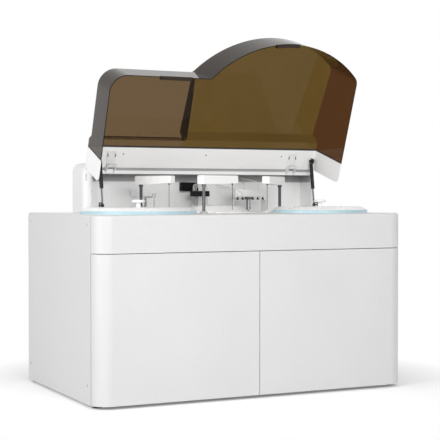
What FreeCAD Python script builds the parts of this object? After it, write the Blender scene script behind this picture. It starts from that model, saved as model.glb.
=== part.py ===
import FreeCAD, Part
import math
import os

# Floor-standing chemistry analyzer with an open smoked lid, modelled in millimetres.
# X runs to the right, Y to the back, Z up. The origin is on the floor under the
# middle of the cabinet. The lid is drawn closed and then swung up to its rest pose.

V = FreeCAD.Vector
UP = V(0, 0, 1)
RIGHT = V(1, 0, 0)
BACK = V(0, 1, 0)

# Cabinet
cabinet_width = 1690.0
cabinet_depth = 1040.0
deck_height = 900.0
fascia_height = 178.0
corner_radius = 77.0
floor_gap = 12.0
seam_gap = 3.0
door_end_gap = 5.0
sheet = 2.0
flange = 18.0
panel_back_gap = 1.0
bend_share = 0.45
cut_over = 5.0
fascia_wall = 3.0
fascia_edge_radius = 14.0
deck_plate_thickness = 4.0
deck_joint_gap = 0.4
left_deck_joint = 112.0
right_deck_joint = 170.0
tray_height = 40.0
post_size = 40.0
rail_height = 30.0
foot_radius = 24.0
foot_stem_radius = 8.0
foot_pad_height = 8.0
panel_screw_radius = 6.0
panel_screw_head = 2.0
panel_screw_edge = 45.0
running_gap = 0.3
shaft_clearance = 0.05

# Doors and their pivots
door_thickness = 20.0
door_pin_inset = 8.0
door_pin_radius = 3.0
door_pin_engage = 9.0
door_block = 14.0
door_block_height = 12.0
pivot_plate_gap = 1.0
door_middle_gap = 3.0

# Rear panel details
louvre_count = 9
louvre_length = 300.0
louvre_height = 8.0
louvre_pitch = 24.0
louvre_low = 250.0
louvre_inset = 415.0
inlet_inset = 225.0
inlet_z = 180.0
inlet_width = 48.0
inlet_height = 28.0
inlet_depth = 22.0
inlet_wall = 4.0
inlet_pin_width = 2.0
inlet_pin_height = 6.0
inlet_pin_length = 14.0
inlet_pin_pitch = 14.0
switch_rise = 60.0
switch_width = 20.0
switch_height = 28.0
switch_body_depth = 20.0
switch_bezel = 3.0
rocker_radius = 10.5
rocker_axle_radius = 2.0
rocker_gap = 0.6
rocker_flat = 6.0
rocker_tilt = 8.0

# Turntables
left_disc_side_gap = 52.0
left_disc_front_gap = 34.0
left_disc_radius = 286.0
right_disc_side_gap = 69.0
right_disc_front_gap = 65.0
right_disc_radius = 250.0
cover_height = 32.0
cover_band_height = 16.0
cover_bevel = 33.0
cover_wall = 4.0
band_wall = 6.0
cover_land = 16.0
tub_wall = 3.0
tub_depth = 124.0
ring_tub_depth = 76.0
tub_land = 14.0
ring_tub_gap = 3.0
tub_flange = 10.0
tub_flange_thickness = 3.0
turntable_gap = 8.0
turntable_plate = 6.0
turntable_lift = 24.0
hub_radius = 40.0
spindle_radius = 12.0
motor_radius = 42.0
motor_height = 70.0
motor_bore_depth = 55.0
left_pick_radius = 250.0
right_pick_radius = 215.0
tube_count = 24
tube_radius = 8.5
tube_bore = 7.0
tube_height = 78.0
tube_floor = 4.0
rack_ring_width = 30.0
rack_ring_thickness = 6.0
rack_ring_height = 52.0
rack_leg_count = 4
rack_leg_radius = 5.0
bottle_count = 20
bottle_inner_radius = 120.0
bottle_outer_radius = 236.0
bottle_height = 66.0
bottle_mouth_radius = 8.0
bottle_mouth_depth = 24.0
bottle_side_gap = 7.0
bottle_neck_radius = 11.0
bottle_neck_height = 10.0
knob_radius = 33.0
knob_stem_radius = 11.0
knob_height = 37.0
knob_head_height = 14.0
knob_edge = 5.0
knob_stem_flare = 6.0
notch_half_width = 13.0
notch_pad = 6.0

# Reaction ring under the deck
ring_shift = 70.5
ring_back_gap = 92.0
ring_pick_radius = 215.0
ring_half_width = 14.0
ring_wall = 3.0
ring_depth = 48.0
ring_top_drop = 12.0
ring_pocket_count = 24
ring_spoke_count = 6
ring_spoke_width = 24.0
ring_cover_radius = 232.0
ring_cover_rise = 5.0
ring_cover_wall = 3.0
ring_cover_land = 6.0
dome_base_radius = 185.0
dome_top_radius = 130.0
dome_rise = 35.0
port_radius = 9.0

# Probe arms: place of each column, its rest angle and its two working angles
arm_names = ["left_probe", "centre_probe", "right_probe"]
left_column_right = 179.0
left_column_back = 60.0
centre_column_left = 226.0
centre_column_front = 330.0
right_column_left = 63.0
right_column_front = 20.0
arm_rest_angle = [-66.0, 17.0, -138.5]
arm_radius = 200.0
arm_rise = 194.0
arm_body_height = 46.0
arm_body_width = 45.0
arm_tail = 29.0
arm_nose = 26.0
arm_corner = 9.0
arm_edge = 7.0
arm_taper = 6.0
arm_taper_start = 70.0
arm_shaft_radius = 8.0
arm_collar_radius = 11.0
arm_collar_height = 13.0
arm_shaft_drop = 100.0
needle_radius = 1.5
needle_tip_rise = 14.0
needle_point = 8.0
needle_point_radius = 0.6
needle_hub_radius = 5.0
needle_hub_height = 10.0
needle_seat_depth = 6.0
bush_radius = 17.0
bush_rise = 10.0
bush_flange_radius = 22.0
bush_flange_height = 4.0
bush_bottom_gap = 4.0
bush_floor = 4.0
dip_travel = 40.0

# Wash wells on the deck
well_radius = 20.0
well_wall = 3.0
well_rise = 6.0
well_flange = 3.0
well_collar_width = 13.0
well_hole_gap = 11.5
well_depth = 56.0
well_flange_thickness = 2.0
spare_well_left = 128.0
spare_well_front = 300.0

# Mixers
mixer_left = 341.0
mixer_back = 160.0
mixer_rest_angle = -97.0
mixer_radius = 166.0
mixer_rise = 86.0
mixer_bar_height = 9.0
mixer_bar_width = 18.0
mixer_shaft_radius = 6.0
mixer_tail = 12.0
mixer_cap = 2.5
mixer_motor_radius = 9.0
mixer_motor_height = 16.0
stirrer_radius = 2.0
stirrer_tip_rise = 16.0
stirrer_blade_width = 7.0
stirrer_blade_height = 12.0
stirrer_blade_thickness = 1.2
post_mixer_right = 214.0
post_mixer_back = 10.0
post_mixer_rise = 82.0
post_mixer_box = 34.0
post_mixer_box_width = 22.0
post_mixer_box_height = 14.0
post_mixer_shaft_radius = 4.0
post_mixer_offset = 34.0
post_mixer_base_radius = 12.0
post_mixer_base_height = 8.0

# Wash station over the back of the ring
wash_middle_angle = 86.0
wash_block_length = 102.0
wash_block_width = 36.0
wash_block_rise = 85.0
wash_block_height = 30.0
wash_post_width = 16.0
wash_post_setback = 30.0
wash_post_gap = 0.3
wash_post_wall = 5.0
wash_nozzles_per_pocket = 4
wash_nozzle_pitch = 9.0
wash_nozzle_radius = 1.4
wash_nozzle_rise = 40.0
wash_tube_radius = 1.8
wash_tube_rise = 38.0
wash_tube_step = 8.0
wash_tube_count = 3
wash_slot_half_width = 10.0

# Manifold bridge to the right of the wash station
bridge_from_ring = 182.0
bridge_length = 190.0
bridge_forward = 58.0
bridge_width = 56.0
bridge_rise = 67.0
bridge_sheet = 3.0
bridge_foot = 20.0
bridge_leg_width = 23.0
manifold_length = 172.0
manifold_width = 34.0
manifold_gap = 18.0
manifold_height = 39.0
manifold_right_inset = 8.0
manifold_edge = 4.0
manifold_leg_radius = 6.0
fitting_count = 6
fitting_radius = 6.5
fitting_height = 8.0
fitting_barb_radius = 3.5
fitting_barb_height = 7.0
hose_radius = 2.2
hose_wall_right = 301.0
hose_wall_drops = [16.0, 28.0]
hose_end_shares = [0.86, 0.34]
hose_bend = 40.0
hose_fall = 24.0
line_radius = 1.5
line_rises = [14.0, 24.0]
line_side_gap = 12.0
line_wall_shift = 10.0
line_fall = 46.0

# Rear housing
housing_left_inset = 249.0
housing_right_inset = 34.0
housing_depth = 180.0
housing_rise = 264.0
cheek_left_width = 48.0
cheek_right_width = 22.0
cheek_left_radius = 38.0
cheek_right_radius = 18.0
housing_crown_radius = 46.0
cavity_rise = 206.0
cavity_back_wall = 56.0
housing_seat_gap = 4.0
lip_depth = 37.0
lip_thickness = 4.0
lip_flange = 14.0
lip_left_gap = 3.0
lip_right_gap = 27.0
lip_screw_count = 4
duct_box_left = 68.0
duct_box_length = 102.0
duct_box_depth = 36.0
duct_box_rise = 116.0
duct_box_height = 48.0
sensor_box_left = 23.0
sensor_box_size = 33.0
sensor_box_depth = 24.0
sensor_box_rise = 85.0
small_screw_radius = 3.5
small_screw_head = 1.5
cheek_screw_shares = [0.2, 0.42, 0.7]
lip_screw_share = 0.35
housing_wall = 3.0
plinth_inset = 12.0
plinth_overlap = 1.5

# Lid, drawn closed: U is the distance forward of the hinge pin, W the height over it
hinge_forward = 33.0
hinge_rise = 247.0
lid_open_angle = 69.8
lid_wall = 4.0
lid_rear_u = -17.0
lid_left_over = 18.0
lid_right_over = 1.0
lid_rim_w = -208.0
lid_front_u = 548.0
lid_corner_radius = 92.0
lid_right_corner_radius = 55.0
lid_arc_inset = 427.0
lid_arc_u = 155.0
lid_arc_radius = 597.0
lid_form_w = 110.0
lean_left = 16.0
lean_front = 30.0
lean_arc = 23.0
lean_right = 48.0
lid_roof_w = 24.6
lid_low_roof_w = -9.5
lid_high_roof_w = 80.0
lid_step_u = 143.0
lid_high_step_u = 172.0
lid_low_step_u = 168.0
lid_high_end_u = 560.0
lid_split_inset = 878.0
frame_front_u = 97.0
gasket_width = 9.0
cheek_corner = 30.0
grip_wall = 3.0
grip_out = 12.0
grip_in = 18.0
grip_in_thickness = 13.0
left_grip_inset = 268.0
left_grip_length = 174.0
right_grip_inset = 394.0
right_grip_length = 136.0
lid_screw_shares = [0.06, 0.15, 0.49, 0.82]
lid_screw_u = 60.0

# Lid hinges
hinge_left_inset = 147.0
hinge_right_inset = 186.0
hinge_pin_radius = 4.0
hinge_barrel_radius = 9.0
hinge_ear = 6.0
hinge_knuckle = 38.0
hinge_side_gap = 1.0
hinge_leaf = 4.0
hinge_leaf_low_u = 12.0
hinge_leaf_high_u = 74.0
hinge_web_half = 8.0
hinge_web_share = 0.7
hinge_slot_width = 5.0
hinge_slot_low = 44.0
hinge_slot_high = 62.0
hinge_slot_x = 21.0
hinge_base_rise = 208.0
hinge_base_height = 23.0

# Gas struts
strut_left_inset = 77.0
strut_right_inset = 71.0
strut_top_u = 41.0
strut_top_w = 1.0
strut_base_forward = 50.0
strut_base_rise = 38.0
strut_cylinder_radius = 10.0
strut_cylinder_length = 150.0
strut_rod_radius = 4.5
strut_eye_radius = 9.0
strut_eye_width = 12.0
strut_stud_radius = 4.0
strut_bore_depth = 142.0
strut_side_gap = 5.0
strut_plate = 4.0
strut_plate_width = 34.0
strut_hole_radius = 12.0
strut_lug_half = 12.0
strut_stud_end = 5.0
strut_plunge_room = 46.0
strut_neck_share = 1.5

# Things on the cabinet floor
jug_width = 190.0
jug_depth = 260.0
jug_height = 330.0
jug_edge = 24.0
jug_neck_radius = 30.0
jug_neck_height = 22.0
jug_cap_radius = 36.0
jug_cap_height = 20.0
jug_side_inset = 265.0
jug_gap = 60.0
jug_front_inset = 320.0
half_share = 0.5
least_run_share = 0.1

# Levels and edges of the cabinet
half_width = cabinet_width / 2
half_depth = cabinet_depth / 2
inner_half = half_width - flange
corner_y = -half_depth + corner_radius
fascia_low = deck_height - fascia_height
door_top = fascia_low - seam_gap
deck_under = deck_height - deck_plate_thickness
tray_floor_top = floor_gap + sheet
louvre_x = half_width - louvre_inset
inlet_x = inlet_inset - half_width
jug_y = jug_front_inset - half_depth
waste_jug_x = half_width - jug_side_inset
wash_jug_x = waste_jug_x - jug_width - jug_gap

# Rear housing, measured from the back and the sides of the cabinet
housing_left_x = housing_left_inset - half_width
housing_right_x = half_width - housing_right_inset
housing_front_y = half_depth - housing_depth
housing_top = deck_height + housing_rise
cavity_ceiling = deck_height + cavity_rise
cavity_back_y = half_depth - cavity_back_wall
lip_front_y = housing_front_y - lip_depth
lip_left_x = housing_left_x + cheek_left_width + lip_left_gap
lip_right_x = housing_right_x - cheek_right_width - lip_right_gap

# Turntables and ring
left_disc_x = left_disc_side_gap + left_disc_radius - half_width
left_disc_y = left_disc_front_gap + left_disc_radius - half_depth
right_disc_x = half_width - right_disc_side_gap - right_disc_radius
right_disc_y = right_disc_front_gap + right_disc_radius - half_depth
ring_x = (left_disc_x + right_disc_x) / 2 + ring_shift
ring_y = cavity_back_y - ring_cover_radius - ring_back_gap

# Columns of the arms and mixers
arm_x = [left_disc_x + left_column_right, ring_x - centre_column_left,
         right_disc_x - right_column_left]
arm_y = [ring_y + left_column_back, ring_y - centre_column_front, ring_y - right_column_front]
arm_top = deck_height + arm_rise
arm_low = arm_top - arm_body_height
arm_shaft_low = deck_height - arm_shaft_drop
bush_low = arm_shaft_low - dip_travel - bush_bottom_gap - bush_floor
mixer_x = ring_x - mixer_left
mixer_y = ring_y + mixer_back
mixer_top = deck_height + mixer_rise
stirrer_tip = deck_height + stirrer_tip_rise
post_mixer_x = ring_x + post_mixer_right
post_mixer_y = ring_y + post_mixer_back
post_mixer_top = deck_height + post_mixer_rise
spare_well_x = ring_x - spare_well_left
spare_well_y = ring_y - spare_well_front

# Wash head, manifold and wall boxes
wash_block_low = deck_height + wash_block_rise
wash_block_high = wash_block_low + wash_block_height
bridge_left_x = ring_x + bridge_from_ring
bridge_right_x = bridge_left_x + bridge_length
bridge_y = housing_front_y - bridge_forward
bridge_top = deck_height + bridge_rise
manifold_low = bridge_top + manifold_gap
manifold_high = manifold_low + manifold_height
duct_box_x = ring_x - duct_box_left
duct_box_low = deck_height + duct_box_rise
sensor_box_x = mixer_x - sensor_box_left
sensor_box_low = deck_height + sensor_box_rise

# Lid, hinges and struts
hinge_y = lip_front_y - hinge_forward
hinge_z = deck_height + hinge_rise
hinge_base_low = deck_height + hinge_base_rise
hinge_base_high = hinge_base_low + hinge_base_height
lid_left_x = housing_left_x - lid_left_over
lid_right_x = housing_right_x + lid_right_over
lid_arc_x = lid_right_x - lid_arc_inset
lid_split_x = lid_right_x - lid_split_inset
hinge_left_x = lid_left_x + hinge_left_inset
hinge_right_x = lid_right_x - hinge_right_inset
strut_left_x = lid_left_x + strut_left_inset
strut_right_x = lid_right_x - strut_right_inset
strut_base_y = hinge_y - strut_base_forward
strut_base_z = deck_height + strut_base_rise


def box(x0, x1, y0, y1, z0, z1):
    return Part.makeBox(x1 - x0, y1 - y0, z1 - z0, V(x0, y0, z0))


def rod(radius, x, y, z0, z1):
    return Part.makeCylinder(radius, z1 - z0, V(x, y, z0))


def rod_between(radius, start, end):
    return Part.makeCylinder(radius, (end - start).Length, start, end - start)


def join(shapes):
    whole = shapes[0].fuse(shapes[1:]) if len(shapes) > 1 else shapes[0]
    return whole.removeSplitter()


def group(shapes):
    return Part.Compound(shapes)


def turned(points, x, y):
    """Solid of revolution from (radius, height) points about the vertical through x, y."""
    corners = [V(x + r, y, z) for r, z in points]
    face = Part.Face(Part.makePolygon(corners + corners[:1]))
    return face.revolve(V(x, y, 0), UP, 360)


def polar(x, y, radius, degrees):
    angle = math.radians(degrees)
    return x + radius * math.cos(angle), y + radius * math.sin(angle)


def prism(points, direction):
    return Part.Face(Part.makePolygon(points + points[:1])).extrude(direction)


def edges_on_level(shape, z, tolerance=0.01):
    found = []
    for edge in shape.Edges:
        bound = edge.BoundBox
        if abs(bound.ZMin - z) < tolerance and abs(bound.ZMax - z) < tolerance:
            found.append(edge)
    return found


def upright_edges(shape, height, tolerance=0.01):
    found = []
    for edge in shape.Edges:
        bound = edge.BoundBox
        if abs(bound.ZLength - height) < tolerance and bound.XLength < tolerance:
            if bound.YLength < tolerance:
                found.append(edge)
    return found


def rounded_box(x0, x1, y0, y1, z0, z1, corner):
    block = box(x0, x1, y0, y1, z0, z1)
    return block.makeFillet(corner, upright_edges(block, z1 - z0))


def save(name, shape):
    solids = shape.Solids
    valid = all(solid.isValid() for solid in solids)
    shape.exportStep("parts/" + name + ".step")
    print(name, len(solids), "valid" if valid else "INVALID", round(shape.Volume))


def front_block(inset, z0, z1):
    """Deep block with both upright front corners rounded."""
    block = box(-half_width + inset, half_width - inset, -half_depth + inset, half_depth, z0, z1)
    corners = []
    for edge in upright_edges(block, z1 - z0):
        if edge.BoundBox.YMax < 0:
            corners.append(edge)
    return block.makeFillet(corner_radius - inset, corners)


def front_prism(inset, x0, x1, y1, z0, z1):
    """Part of the rounded front block from x0 to x1 and forward of y1."""
    return front_block(inset, z0, z1).common(box(x0, x1, -half_depth, y1, z0, z1))


def soft_front_block(inset, z0, z1, radius):
    """Front block whose top edge is rounded as well."""
    block = front_block(inset, z0, z1)
    return block.makeFillet(radius, edges_on_level(block, z1))


def fascia():
    """Rounded band across the front above the doors, closed underneath, open at the back."""
    zone = box(-half_width, half_width, -half_depth, corner_y, fascia_low, deck_height)
    outer = soft_front_block(0, fascia_low, deck_height, fascia_edge_radius).common(zone)
    inner = soft_front_block(fascia_wall, fascia_low + fascia_wall, deck_height - fascia_wall,
                             fascia_edge_radius - fascia_wall)
    well = rod(left_disc_radius - cover_land, left_disc_x, left_disc_y,
               deck_under, deck_height + cut_over)
    return outer.cut(inner).cut(well)


def door_pin_place(side):
    return side * (half_width - door_pin_inset), corner_y - door_end_gap + seam_gap - door_pin_inset


def door(side):
    """One front door: a folded pan whose outer edge wraps round the cabinet corner."""
    low = floor_gap + pivot_plate_gap + seam_gap
    inner_edge = door_middle_gap / 2
    end_y = corner_y - door_end_gap + seam_gap
    x0 = -half_width if side < 0 else inner_edge
    x1 = -inner_edge if side < 0 else half_width
    outer = front_prism(0, x0, x1, end_y, low, door_top)
    hollow = front_prism(door_thickness, -half_width, half_width, end_y + cut_over,
                         low - cut_over, door_top + cut_over)
    body = outer.cut(hollow)
    pocket_x0 = x0 + sheet if side > 0 else -half_width
    pocket_x1 = x1 - sheet if side < 0 else half_width
    pocket = front_prism(sheet, pocket_x0, pocket_x1, end_y - sheet, low + sheet, door_top - sheet)
    body = body.cut(pocket)
    pin_x, pin_y = door_pin_place(side)
    half = door_block / 2
    blocks = []
    for z0 in (low, door_top - door_block_height):
        blocks.append(box(pin_x - half, pin_x + half, pin_y - half, pin_y + half,
                          z0, z0 + door_block_height))
    body = join([body] + blocks)
    bore = door_pin_radius + shaft_clearance
    body = body.cut(rod(bore, pin_x, pin_y, low - cut_over, low + door_pin_engage + seam_gap))
    return body.cut(rod(bore, pin_x, pin_y, door_top - door_pin_engage - seam_gap,
                        door_top + cut_over))


def door_pivots():
    """Thin plates under and over the outer edge of each door, each with its pin."""
    plates = []
    low = floor_gap + pivot_plate_gap + seam_gap
    rail_y = corner_y + seam_gap
    half = door_block / 2
    for side in (-1, 1):
        pin_x, pin_y = door_pin_place(side)
        xs = sorted((pin_x + side * (half - sheet), pin_x - side * (post_size + half)))
        foot = box(xs[0], xs[1], pin_y - half, rail_y, floor_gap, floor_gap + seam_gap)
        foot_pin = rod(door_pin_radius, pin_x, pin_y, floor_gap, low + door_pin_engage)
        head = box(xs[0], xs[1], pin_y - half, rail_y, door_top + pivot_plate_gap, fascia_low)
        tongue_xs = sorted((side * (inner_half - sheet), pin_x - side * (post_size + half)))
        tongue = box(tongue_xs[0], tongue_xs[1], rail_y, rail_y + sheet,
                     door_top + pivot_plate_gap, fascia_low)
        head_pin = rod(door_pin_radius, pin_x, pin_y, door_top - door_pin_engage, fascia_low)
        plates += [join([foot, foot_pin]), join([head, tongue, head_pin])]
    return group(plates)


def side_panel(side):
    """Folded side sheet, open towards the inside, with a softly rounded top edge."""
    y0 = corner_y + seam_gap
    y1 = half_depth - panel_back_gap
    xs = sorted((side * half_width, side * inner_half))
    body = box(xs[0], xs[1], y0, y1, floor_gap, deck_height)
    body = soften_outer_top(body, side * half_width, deck_height, fascia_edge_radius)
    skin = side * (half_width - sheet)
    pocket_xs = sorted((skin, side * (inner_half - cut_over)))
    pocket = box(pocket_xs[0], pocket_xs[1], y0 + sheet, y1 - sheet,
                 floor_gap + sheet, deck_height - sheet)
    pocket = soften_outer_top(pocket, skin, deck_height - sheet, fascia_edge_radius - sheet)
    return body.cut(pocket)


def soften_outer_top(body, x, z, radius):
    chosen = []
    for edge in edges_on_level(body, z):
        if abs(edge.BoundBox.XMin - x) < sheet / 2 and edge.BoundBox.XLength < sheet / 2:
            chosen.append(edge)
    return body.makeFillet(radius, chosen)


def panel_screws():
    screws = []
    y_front = corner_y + seam_gap + panel_screw_edge
    y_back = half_depth - panel_screw_edge
    z_low = floor_gap + panel_screw_edge * 2
    z_high = deck_height - panel_screw_edge
    for side in (-1, 1):
        for y in (y_front, y_back):
            for z in (z_low, z_high):
                start = V(side * half_width, y, z)
                end = V(side * (half_width + panel_screw_head), y, z)
                screws.append(rod_between(panel_screw_radius, start, end))
    return group(screws)


def rear_panel():
    """Folded rear sheet with two louvre fields and openings for inlet and switch."""
    y0 = half_depth - flange
    over = half_depth + cut_over
    body = box(-inner_half, inner_half, y0, half_depth, floor_gap, deck_under)
    body = body.cut(box(-inner_half + sheet, inner_half - sheet, y0 - cut_over,
                        half_depth - sheet, floor_gap + sheet, deck_under - sheet))
    for row in range(louvre_count):
        z = louvre_low + row * louvre_pitch
        for x in (-louvre_x, louvre_x):
            body = body.cut(box(x - louvre_length / 2, x + louvre_length / 2,
                                y0, over, z, z + louvre_height))
    body = body.cut(box(inlet_x - inlet_width / 2, inlet_x + inlet_width / 2, y0, over,
                        inlet_z - inlet_height / 2, inlet_z + inlet_height / 2))
    z = inlet_z + switch_rise
    return body.cut(box(inlet_x - switch_width / 2, inlet_x + switch_width / 2, y0, over,
                        z - switch_height / 2, z + switch_height / 2))


def power_inlet():
    """Recessed appliance inlet with three blades, flush in the rear panel."""
    y0 = half_depth - inlet_depth
    body = box(inlet_x - inlet_width / 2, inlet_x + inlet_width / 2, y0, half_depth,
               inlet_z - inlet_height / 2, inlet_z + inlet_height / 2)
    body = body.cut(box(inlet_x - inlet_width / 2 + inlet_wall,
                        inlet_x + inlet_width / 2 - inlet_wall,
                        y0 + inlet_wall, half_depth + cut_over,
                        inlet_z - inlet_height / 2 + inlet_wall,
                        inlet_z + inlet_height / 2 - inlet_wall))
    pins = []
    for step in (-1, 0, 1):
        x = inlet_x + step * inlet_pin_pitch
        pins.append(box(x - inlet_pin_width / 2, x + inlet_pin_width / 2,
                        y0 + inlet_wall - sheet, y0 + inlet_wall + inlet_pin_length,
                        inlet_z - inlet_pin_height / 2, inlet_z + inlet_pin_height / 2))
    return join([body] + pins)


def switch_body():
    z = inlet_z + switch_rise
    y0 = half_depth - switch_body_depth
    body = box(inlet_x - switch_width / 2, inlet_x + switch_width / 2, y0, half_depth,
               z - switch_height / 2, z + switch_height / 2)
    return body.cut(box(inlet_x - switch_width / 2 + switch_bezel,
                        inlet_x + switch_width / 2 - switch_bezel,
                        y0 + switch_bezel, half_depth + cut_over,
                        z - switch_height / 2 + switch_bezel,
                        z + switch_height / 2 - switch_bezel))


def switch_rocker():
    """Rocker cap, a shallow V seen from the side, tilted on its axle in the bezel."""
    z = inlet_z + switch_rise
    half = switch_width / 2 - switch_bezel - rocker_gap
    y = half_depth - rocker_flat
    tall = rocker_radius - rocker_gap
    side = [V(inlet_x - half, y - rocker_flat / 2, z - tall / 2),
            V(inlet_x - half, y + rocker_flat / 2, z - tall + rocker_gap),
            V(inlet_x - half, y + rocker_axle_radius, z),
            V(inlet_x - half, y + rocker_flat / 2, z + tall - rocker_gap),
            V(inlet_x - half, y - rocker_flat / 2, z + tall / 2)]
    cap = prism(side, V(half * 2, 0, 0))
    reach = switch_width / 2 - switch_bezel
    axle = rod_between(rocker_axle_radius, V(inlet_x - reach, y, z), V(inlet_x + reach, y, z))
    body = join([cap, axle])
    body.rotate(V(inlet_x, y, z), RIGHT, -rocker_tilt)
    return body


def base_tray():
    y0 = corner_y + seam_gap
    y1 = half_depth - flange
    body = box(-inner_half, inner_half, y0, y1, floor_gap, floor_gap + tray_height)
    return body.cut(box(-inner_half + sheet, inner_half - sheet, y0 + sheet, y1 - sheet,
                        floor_gap + sheet, floor_gap + tray_height + cut_over))


def frame_posts():
    inner = inner_half - sheet
    x_post = inner - post_size
    y_front = corner_y + seam_gap + sheet
    y_back = half_depth - flange - sheet - post_size
    return inner, x_post, y_front, y_back


def cabinet_frame():
    """Welded frame: four corner posts, rails at the sides and back, a rail over the doors."""
    inner, x_post, y_front, y_back = frame_posts()
    low = tray_floor_top
    high = deck_under
    rail = post_size / 2
    bars = []
    for x in (-inner, x_post):
        for y in (y_front, y_back):
            bars.append(box(x, x + post_size, y, y + post_size, low, high))
    bars.append(box(-inner, inner, y_back, y_back + rail, high - rail_height, high))
    for x in (-inner, inner - rail):
        bars.append(box(x, x + rail, y_front, y_back + post_size, high - rail_height, high))
    bars.append(box(-inner, inner, corner_y, y_front + rail, fascia_low,
                    fascia_low + rail_height))
    bars.append(box(-rail, rail, y_back, y_back + post_size, low, high))
    return join(bars)


def levelling_feet():
    inner, x_post, y_front, y_back = frame_posts()
    feet = []
    for x in (-inner + post_size / 2, inner - post_size / 2):
        for y in (y_front + post_size / 2, y_back + post_size / 2):
            pad = rod(foot_radius, x, y, 0, foot_pad_height)
            stem = rod(foot_stem_radius, x, y, 0, floor_gap)
            feet.append(join([pad, stem]))
    return group(feet)


def column_places():
    return list(zip(arm_x, arm_y)) + [(mixer_x, mixer_y)]


def ring_tub_radius():
    return ring_pick_radius + ring_half_width + ring_tub_gap


def deck_plate():
    """Deck in three sheets, with holes for turntables, ring, columns and wash wells."""
    body = box(-inner_half, inner_half, corner_y, half_depth, deck_under, deck_height)
    low = deck_under - cut_over
    high = deck_height + cut_over
    body = body.cut(rod(left_disc_radius - cover_land, left_disc_x, left_disc_y, low, high))
    body = body.cut(rod(right_disc_radius - cover_land, right_disc_x, right_disc_y, low, high))
    body = body.cut(rod(ring_cover_radius - ring_cover_land, ring_x, ring_y, low, high))
    for x, y in column_places():
        body = body.cut(rod(bush_radius, x, y, low, high))
    hole_radius = well_radius + well_wall + well_hole_gap
    for x, y in well_places():
        body = body.cut(rod(hole_radius, x, y, low, high))
    for x in (left_disc_x + left_deck_joint, right_disc_x - right_deck_joint):
        body = body.cut(box(x, x + deck_joint_gap, corner_y - cut_over, half_depth + cut_over,
                            low, high))
    return body


def well_places():
    places = []
    for x, y, angle in zip(arm_x, arm_y, arm_rest_angle):
        places.append(polar(x, y, arm_radius, angle))
    places.append(polar(mixer_x, mixer_y, mixer_radius, mixer_rest_angle))
    places.append((spare_well_x, spare_well_y))
    return places


def wash_well(x, y):
    """Rinse cup that hangs by its flange in a collar, which lies over the deck's hole."""
    outer = well_radius + well_wall
    flange_radius = outer + well_flange
    collar_radius = outer + well_collar_width
    low = deck_height - well_depth
    rim = deck_height + well_rise
    under = deck_height + well_flange_thickness
    over = under + well_flange_thickness
    collar = turned([(outer, deck_height), (collar_radius, deck_height),
                     (collar_radius, under), (outer, under)], x, y)
    cup = turned([(0, low), (outer, low), (outer, under), (flange_radius, under),
                  (flange_radius, over), (outer, over), (outer, rim), (well_radius, rim),
                  (well_radius, low + well_wall), (0, low + well_wall)], x, y)
    return [collar, cup]


def tub(x, y, inner, depth):
    """Open tub hung under the deck by its flange, with a hole for the spindle."""
    outer = inner + tub_wall
    low = deck_under - depth
    step = deck_under - tub_flange_thickness
    bore = spindle_radius + turntable_gap / 2
    return turned([(bore, low), (outer, low), (outer, step), (outer + tub_flange, step),
                   (outer + tub_flange, deck_under), (inner, deck_under),
                   (inner, low + tub_wall), (bore, low + tub_wall)], x, y)


def motor(x, y, top):
    bore = spindle_radius + shaft_clearance
    low = top - motor_height
    return turned([(0, low), (motor_radius, low), (motor_radius, top), (bore, top),
                   (bore, top - motor_bore_depth), (0, top - motor_bore_depth)], x, y)


def spindle(x, y, plate_low, motor_top):
    bottom = motor_top - motor_bore_depth + running_gap
    return rod(spindle_radius, x, y, bottom, plate_low)


def turntable_low():
    return deck_under - tub_depth + tub_wall + turntable_lift


def sample_plate():
    """Turntable with a raised ring that holds the tubes upright."""
    low = turntable_low()
    top = low + turntable_plate
    radius = left_disc_radius - cover_land - turntable_gap
    parts = [turned([(0, low), (radius, low), (radius, top), (hub_radius, top),
                     (hub_radius, top + turntable_plate), (0, top + turntable_plate)],
                    left_disc_x, left_disc_y)]
    ring_low = top + rack_ring_height
    ring_top = ring_low + rack_ring_thickness
    half = rack_ring_width / 2
    inner = left_pick_radius - half
    outer = min(left_pick_radius + half, radius)
    parts.append(turned([(inner, ring_low), (outer, ring_low), (outer, ring_top),
                         (inner, ring_top)], left_disc_x, left_disc_y))
    for leg in range(rack_leg_count):
        angle = sample_phase() + (leg + half_share / (tube_count / rack_leg_count)) * 360 / rack_leg_count
        x, y = polar(left_disc_x, left_disc_y, inner + rack_leg_radius, angle)
        parts.append(rod(rack_leg_radius, x, y, top, ring_low))
    body = join(parts)
    for x, y in tube_places():
        body = body.cut(rod(tube_radius + running_gap, x, y, ring_low - cut_over,
                            ring_top + cut_over))
    return body


def sample_phase():
    """Direction from the left disc to the place where the left probe dips in."""
    x, y = left_pick_place()
    return math.degrees(math.atan2(y - left_disc_y, x - left_disc_x))


def circle_crossing(x0, y0, r0, x1, y1, r1, side):
    """Angle at x0, y0 of the crossing of two circles, on the given side of their line."""
    gap = math.hypot(x1 - x0, y1 - y0)
    along = math.degrees(math.atan2(y1 - y0, x1 - x0))
    cosine = (gap * gap + r0 * r0 - r1 * r1) / (2 * gap * r0)
    return along + side * math.degrees(math.acos(cosine))


def left_pick_angle():
    return circle_crossing(arm_x[0], arm_y[0], arm_radius, left_disc_x, left_disc_y,
                           left_pick_radius, 1)


def left_pick_place():
    return polar(arm_x[0], arm_y[0], arm_radius, left_pick_angle())


def centre_second_angle():
    """Second place where the centre probe's tip crosses the pocket circle."""
    return circle_crossing(arm_x[1], arm_y[1], arm_radius, ring_x, ring_y, ring_pick_radius, 1)


def right_pick_angle():
    return circle_crossing(arm_x[2], arm_y[2], arm_radius, right_disc_x, right_disc_y,
                           right_pick_radius, -1)


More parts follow.
